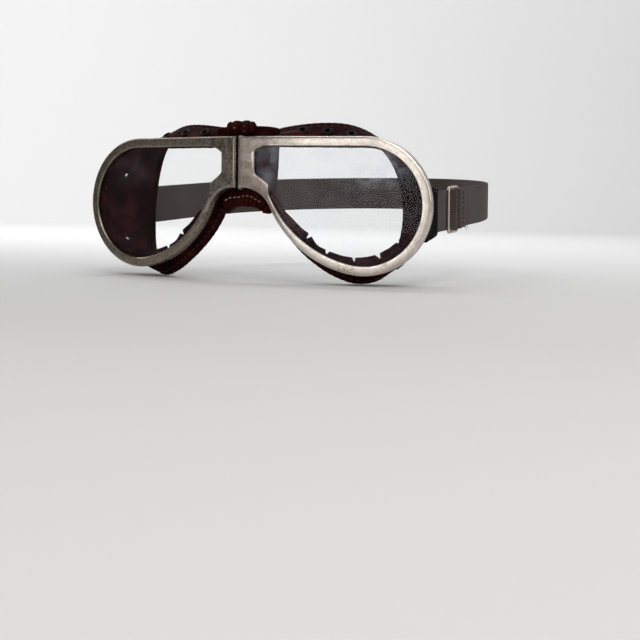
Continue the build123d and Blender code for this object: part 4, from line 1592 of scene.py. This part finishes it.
@dataclass(frozen=True)
class StrapPlane:
    """The plane that the strap lies in: a to the side, b back along it, and n up across the strap."""

    start: tuple[float, float, float] = (0.0, 24.0, -2.0)
    rise: float = 3.6

    @property
    def back(self) -> Array:
        """The direction of b."""
        return np.array([0.0, *heading(self.rise)])

    @property
    def up(self) -> Array:
        """The direction of n."""
        return np.array([0.0, *heading(self.rise + 90)])

    def place(self, points: Array) -> Array:
        """Put (a, b) points in space."""
        across = points[:, :1] * np.array([1.0, 0, 0])
        return np.array(self.start) + across + points[:, 1:2] * self.back


@dataclass(frozen=True)
class Ribbon:
    """One run of the strap: a path in the strap's plane, and a width and thickness."""

    name: str
    corners: tuple[tuple[float, float], ...]
    plane: StrapPlane = StrapPlane()
    width: float = 18.8
    thickness: float = 1.4
    bend: float = 1.4
    spacing: float = 0.6
    pick: float = 0.95
    round_head: tuple[float, float] | None = None

    def path(self) -> Array:
        """The run's middle line: straight lines with rounded corners, and the half ellipse."""
        if self.round_head is None:
            line = rounded(np.array(self.corners), self.bend)
        else:
            middle, length = self.round_head
            side = self.corners[0][0]
            angle = np.linspace(0, math.pi, 240)
            turn = np.stack([side * np.cos(angle), middle + length * np.sin(angle)], axis=1)
            line = np.concatenate([turn, [self.corners[1]]])
        total = np.linalg.norm(np.diff(line, axis=0), axis=1).sum()
        return respaced(line, int(total / self.spacing) + 2)

    def finish(self) -> bpy.types.Material:
        """Webbing whose picks are one size, however long the run is."""
        return Webbing(f"webbing_{self.name}", picks=len(self.path()) * self.spacing / self.pick).material()

    def frame(self) -> tuple[Array, Array]:
        """The middle line in space, and the direction out of the strap's face along it."""
        flat = self.path()
        tangent = unit(np.gradient(flat, axis=0))
        out = tangent[:, 1:2] * np.array([1.0, 0, 0]) - tangent[:, :1] * self.plane.back
        return self.plane.place(flat), out

    def shape(self, seed: int) -> Shape:
        """The strip carried along the path, slightly waved at its edges as worn elastic is.

        Args:
            seed: start of the random draws.

        Returns:
            The closed strip.
        """
        middle, out = self.frame()
        section = strip_section(self.width, self.thickness)
        points = tube(middle, self.plane.up, out, section)
        count = len(middle)
        wave = ripples(8, count, seed, max(count // 14, 3))[0]
        ends = np.clip(np.minimum(np.arange(count), np.arange(count)[::-1]) / 12, 0, 1)
        edge = (section[:, 0] / self.width * 2) ** 3
        shift = (0.22 * wave * ends)[:, None] * edge[None, :]
        points = points + shift[..., None] * out[:, None]
        return Shape.from_grid(points)


@dataclass(frozen=True)
class Strap:
    """The head strap: short strap through the slider, sewn loop, and the long strap round the head."""

    side: float = 81.0
    outer: float = 84.0
    tail: float = 79.45
    near: float = 82.55
    slider_front: float = 16.0
    pitch: float = 6.5
    rear_bar: float = 29.0
    loop_front: float = 27.5
    sewn: float = 11.0
    straight: float = 68.15
    head_length: float = 98.0
    tail_end: float = 72.0
    slot: float = 6.35

    def runs(self) -> dict[str, Ribbon]:
        """The four runs of webbing, by the node that each stands for."""
        weave = [self.slider_front + share * self.pitch for share in (0.42, 0.85, 1.15, 1.72)]
        short = (
            (self.side, -self.slot), (self.side, weave[0]), (self.outer, weave[1]),
            (self.outer, weave[2]), (self.tail, weave[3]), (self.tail, self.tail_end),
        )
        end = self.rear_bar + self.sewn
        fold = (
            (self.near, end), (self.near, self.rear_bar + self.sewn / 2), (self.outer, self.rear_bar + 1.5),
            (self.outer, self.loop_front), (self.side, self.loop_front), (self.side, end),
        )
        return {
            "strap_short": Ribbon("short_strap", short),
            "strap_sewn_end": Ribbon("sewn_loop", fold, bend=1.42, spacing=0.35),
            "strap_front": Ribbon("long_strap_front", ((self.side, end), (self.side, self.straight))),
            "strap_back": Ribbon(
                "long_strap_back", ((self.side, self.straight), (-self.side, -self.slot)),
                round_head=(self.straight, self.head_length),
            ),
        }

    def threads(self, seed: int) -> Shape:
        """Loose yarns at the sewn end's cut edge, and two longer ones that hang from its corners.

        A yarn's middle line leaves the edge, and drifts sideways and down as the square of its
        length.

        Args:
            seed: start of the random draws.

        Returns:
            All the yarns as one shape.
        """
        random = np.random.default_rng(seed)
        plane = StrapPlane()
        edge = self.rear_bar + self.sewn
        shapes = []
        heights = np.concatenate([random.uniform(-9.2, 9.2, 34), [-9.3, -9.2, 9.0]])
        lengths = np.concatenate([random.uniform(0.5, 2.2, 34), [7.5, 5.0, 3.5]])
        for height, length in zip(heights, lengths):
            share = np.linspace(0, 1, 9)[:, None]
            drift = random.normal(0, 0.35, 2) * length
            down = -abs(random.normal(0, 0.2)) * length * share**2
            aside = drift[0] * 0.5 * share**2 + 0.25 * np.sin(5 * share + height)
            base = plane.place(np.array([[self.near + random.uniform(-0.4, 0.5), edge - 0.3]]))
            path = base + (height + down + drift[1] * share**2) * plane.up + length * share * plane.back
            path = path + aside * np.array([1.0, 0, 0])
            angle = np.linspace(0, 2 * math.pi, 6, endpoint=False)
            section = 0.14 * np.stack([np.cos(angle), np.sin(angle)], axis=1)
            shapes.append(Shape.from_grid(tube(path, plane.up, np.array([1.0, 0, 0]), section)))
        return Shape.joined(shapes)

    def build(self, finishes: Finishes) -> None:
        """Make every run of the strap, its seam and loose yarns, and dress the slider."""
        made = {}
        for seed, (node, ribbon) in enumerate(self.runs().items(), 40):
            piece = ribbon.shape(seed).piece(ribbon.name, ribbon.finish(), 60)
            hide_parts(node)
            made[node] = piece
        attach(made["strap_sewn_end"], "slider_set")
        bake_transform(made["strap_short"])
        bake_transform(made["strap_front"])
        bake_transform(made["strap_back"])
        plane = StrapPlane()
        height = np.linspace(-8.4, 8.4, 40)[:, None]
        for index, along in enumerate((self.rear_bar + 6.4, self.rear_bar + 7.6)):
            place = plane.place(np.array([[self.near + 0.72, along]])) + height * plane.up
            seam = Seam(1.7, 2.3, 0.2).shape(place, np.tile([1.0, 0, 0], (len(place), 1)))
            settle(seam.piece(f"sewn_loop_seam_{index}", finishes.dark_thread), "slider_set", "webbing")
        yarns = self.threads(77).piece("cut_end_yarns", finishes.web_thread, 80)
        settle(yarns, "slider_set", "webbing")
        dress("slider", finishes.wire)


@dataclass(frozen=True)
class Tab:
    """A strap tab: two plies of leather with a worn, rounded edge and a stitched border."""

    plane: StrapPlane = StrapPlane()
    side: float = 81.0
    half_thickness: float = 1.95

    def build(self, side: Side, finishes: Finishes) -> None:
        """Make the tab of one half and its stitches."""
        word = side.word
        points, normals, faces = SoftCopy(f"{word}_strap_tab", 0.35, 4).points_and_faces()
        wave = np.sin(points[:, 1] / 1.9 + points[:, 2] / 2.7) * np.cos(points[:, 2] / 1.6)
        shape = Shape(points + 0.07 * wave[:, None] * normals, faces)
        shape.masks = {"raised": np.clip(np.abs(normals[:, 1]) + np.abs(normals[:, 2]) - 0.4, 0, 1)}
        leather = shape.piece(f"{word}_tab_leather", finishes.tab, 80)
        settle(leather, side.body, "tab_leather", f"{word}_strap_tab")
        border = np.array([(-6.5, 10.2), (-1.4, 9.0), (-1.4, -9.0), (-6.5, -10.2)])
        line = respaced(rounded(border, 1.5), 80)
        flat = np.stack([np.full(len(line), self.side + self.half_thickness), line[:, 0]], axis=1)
        path = self.plane.place(flat) + line[:, 1:2] * self.plane.up
        seam = Seam(1.6, 2.3, 0.2).shape(path, np.tile([1.0, 0, 0], (len(path), 1))).mirrored(side)
        settle(seam.piece(f"{word}_tab_seam", finishes.dark_thread), side.body, "tab_leather")


# The photograph's camera, the floor and the lights


@dataclass(frozen=True)
class Camera:
    """The viewpoint: turned and tipped about the hinge, whose top stands at one place in the image."""

    yaw: float = 24.32
    pitch: float = 5.82
    roll: float = 0.99
    distance: float = 500.5
    focal: float = 1119.7
    image: float = 640.0
    hinge_pixel: tuple[float, float] = (236.2, 137.0)
    hinge: tuple[float, float, float] = (0.0, -14.0, 30.0)
    sensor: float = 36.0

    def build(self) -> None:
        """Place the camera: straight behind the hinge along its axis, then moved in its own plane."""
        (cy, sy), (cp, sp) = heading(self.yaw), heading(self.pitch)
        behind = np.array([sy * cp, -cy * cp, sp])
        level = np.array([cy, sy, 0.0])
        upright = np.cross(behind, level)
        cr, sr = heading(self.roll)
        right, up = cr * level + sr * upright, -sr * level + cr * upright
        middle = self.image / 2
        aside = [(pixel - middle) / self.focal * self.distance for pixel in self.hinge_pixel]
        spot = np.array(self.hinge) + behind * self.distance - right * aside[0] + up * aside[1]
        data = bpy.data.cameras.new("camera")
        data.sensor_width = self.sensor
        data.lens = self.focal * self.sensor / self.image
        data.clip_start, data.clip_end = 0.01, 20
        camera = bpy.data.objects.new("camera", data)
        turn = np.eye(4)
        turn[:3, 0], turn[:3, 1], turn[:3, 2], turn[:3, 3] = right, up, behind, spot * MM
        camera.matrix_world = Matrix(turn.tolist())
        bpy.context.scene.collection.objects.link(camera)
        bpy.context.scene.camera = camera


@dataclass(frozen=True)
class Softbox:
    """A square lamp that faces the goggles."""

    name: str
    azimuth: float
    elevation: float
    distance: float
    size: float
    power: float
    colour: Colour = (1.0, 1.0, 1.0)
    aim: tuple[float, float, float] = (0.0, 0.0, 0.0)

    def build(self) -> None:
        """Hang the lamp at its azimuth from the front, positive to the wearer's left, and aim it."""
        (ca, sa), (ce, se) = heading(self.azimuth), heading(self.elevation)
        spot = self.distance * np.array([sa * ce, -ca * ce, se])
        way = unit(spot - np.array(self.aim))
        data = bpy.data.lights.new(self.name, "AREA")
        data.shape, data.size = "SQUARE", self.size
        data.energy, data.color = self.power, self.colour
        lamp = bpy.data.objects.new(self.name, data)
        side = unit(np.cross([0.0, 0.001, 1.0], way))
        turn = np.eye(4)
        turn[:3, 0], turn[:3, 1], turn[:3, 2], turn[:3, 3] = side, np.cross(way, side), way, spot
        lamp.matrix_world = Matrix(turn.tolist())
        bpy.context.scene.collection.objects.link(lamp)


@dataclass(frozen=True)
class Studio:
    """The pale floor that curves up into a backdrop all round, and soft lights."""

    flat: float = 1300.0
    curve: float = 600.0
    height: float = 1500.0
    steps: int = 96
    glow: float = 0.26

    def build(self) -> None:
        """Make the sweep under the goggles' lowest point, the lamps and the room's even light.

        The sweep is a profile turned round the Z axis: flat, then a quarter circle, then upright.
        """
        floor_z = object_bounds()[0].z / MM - 0.1
        bend = arc((self.flat, self.curve), self.curve, -90, 0, 24)
        profile = np.concatenate([[(0, 0)], bend, [(self.flat + self.curve, self.height)]])
        turn = np.linspace(0, 2 * math.pi, self.steps)[None, :]
        far = profile[:, :1]
        points = np.stack([far * np.cos(turn), far * np.sin(turn), profile[:, 1:] + floor_z + 0 * turn], axis=2)
        sheet = Shape.from_grid(points, wrap_cols=False)
        sheet.piece("floor_sweep", Paper().material(), 80)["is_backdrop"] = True
        for lamp in (
            Softbox("key_box", 36.0, 40.0, 0.8, 0.5, 2.7, (1.0, 0.985, 0.965)),
            Softbox("front_box", -3.0, 10.0, 1.0, 0.45, 1.3, (1.0, 0.99, 0.98)),
            Softbox("top_box", 60.0, 78.0, 1.2, 0.8, 1.2, (0.97, 0.98, 1.0)),
            Softbox("side_box", 84.0, 22.0, 1.0, 0.6, 1.5, (1.0, 0.985, 0.965)),
            Softbox("back_box", 165.0, 55.0, 1.2, 0.9, 2.2),
            Softbox("sweep_box", -120.0, 58.0, 1.3, 1.2, 22.0, (0.985, 0.99, 1.0), (-0.8, 1.6, 0.4)),
        ):
            lamp.build()
        world = bpy.data.worlds.new("room_light")
        world.use_nodes = True
        world.node_tree.nodes["Background"].inputs[0].default_value = (0.82, 0.84, 0.88, 1)
        world.node_tree.nodes["Background"].inputs[1].default_value = self.glow
        bpy.context.scene.world = world
        bpy.context.scene.view_settings.view_transform = "Standard"


def main() -> None:
    """Build every piece in order."""
    logging.basicConfig(level=logging.INFO, format="%(name)s: %(message)s")
    Camera().build()
    finishes = Finishes()
    left_folds = ((17.0, 0.5, 7.0, 2.0), (28.0, 0.45, 4.0, 0.4), (36.0, 0.5, 3.0, -0.4), (44.0, 0.5, 5.0, 0.3))
    right_folds = ((15.0, 0.5, 5.0, -1.0), (24.0, 0.45, 4.5, 0.6), (33.0, 0.5, 2.5, -0.5), (41.0, 0.5, 4.0, 0.5))
    for seed, side, folds in ((3, Side.LEFT, left_folds), (11, Side.RIGHT, right_folds)):
        Rim().build(side, finishes)
        Cup(folds=folds).build(side, seed, finishes)
        Haze().build(side, finishes)
        Hem().build(side, seed, finishes)
        Tab().build(side, finishes)
    Bridge().build(finishes)
    Strap().build(finishes)
    Studio().build()


if __name__ == "__main__":
    main()
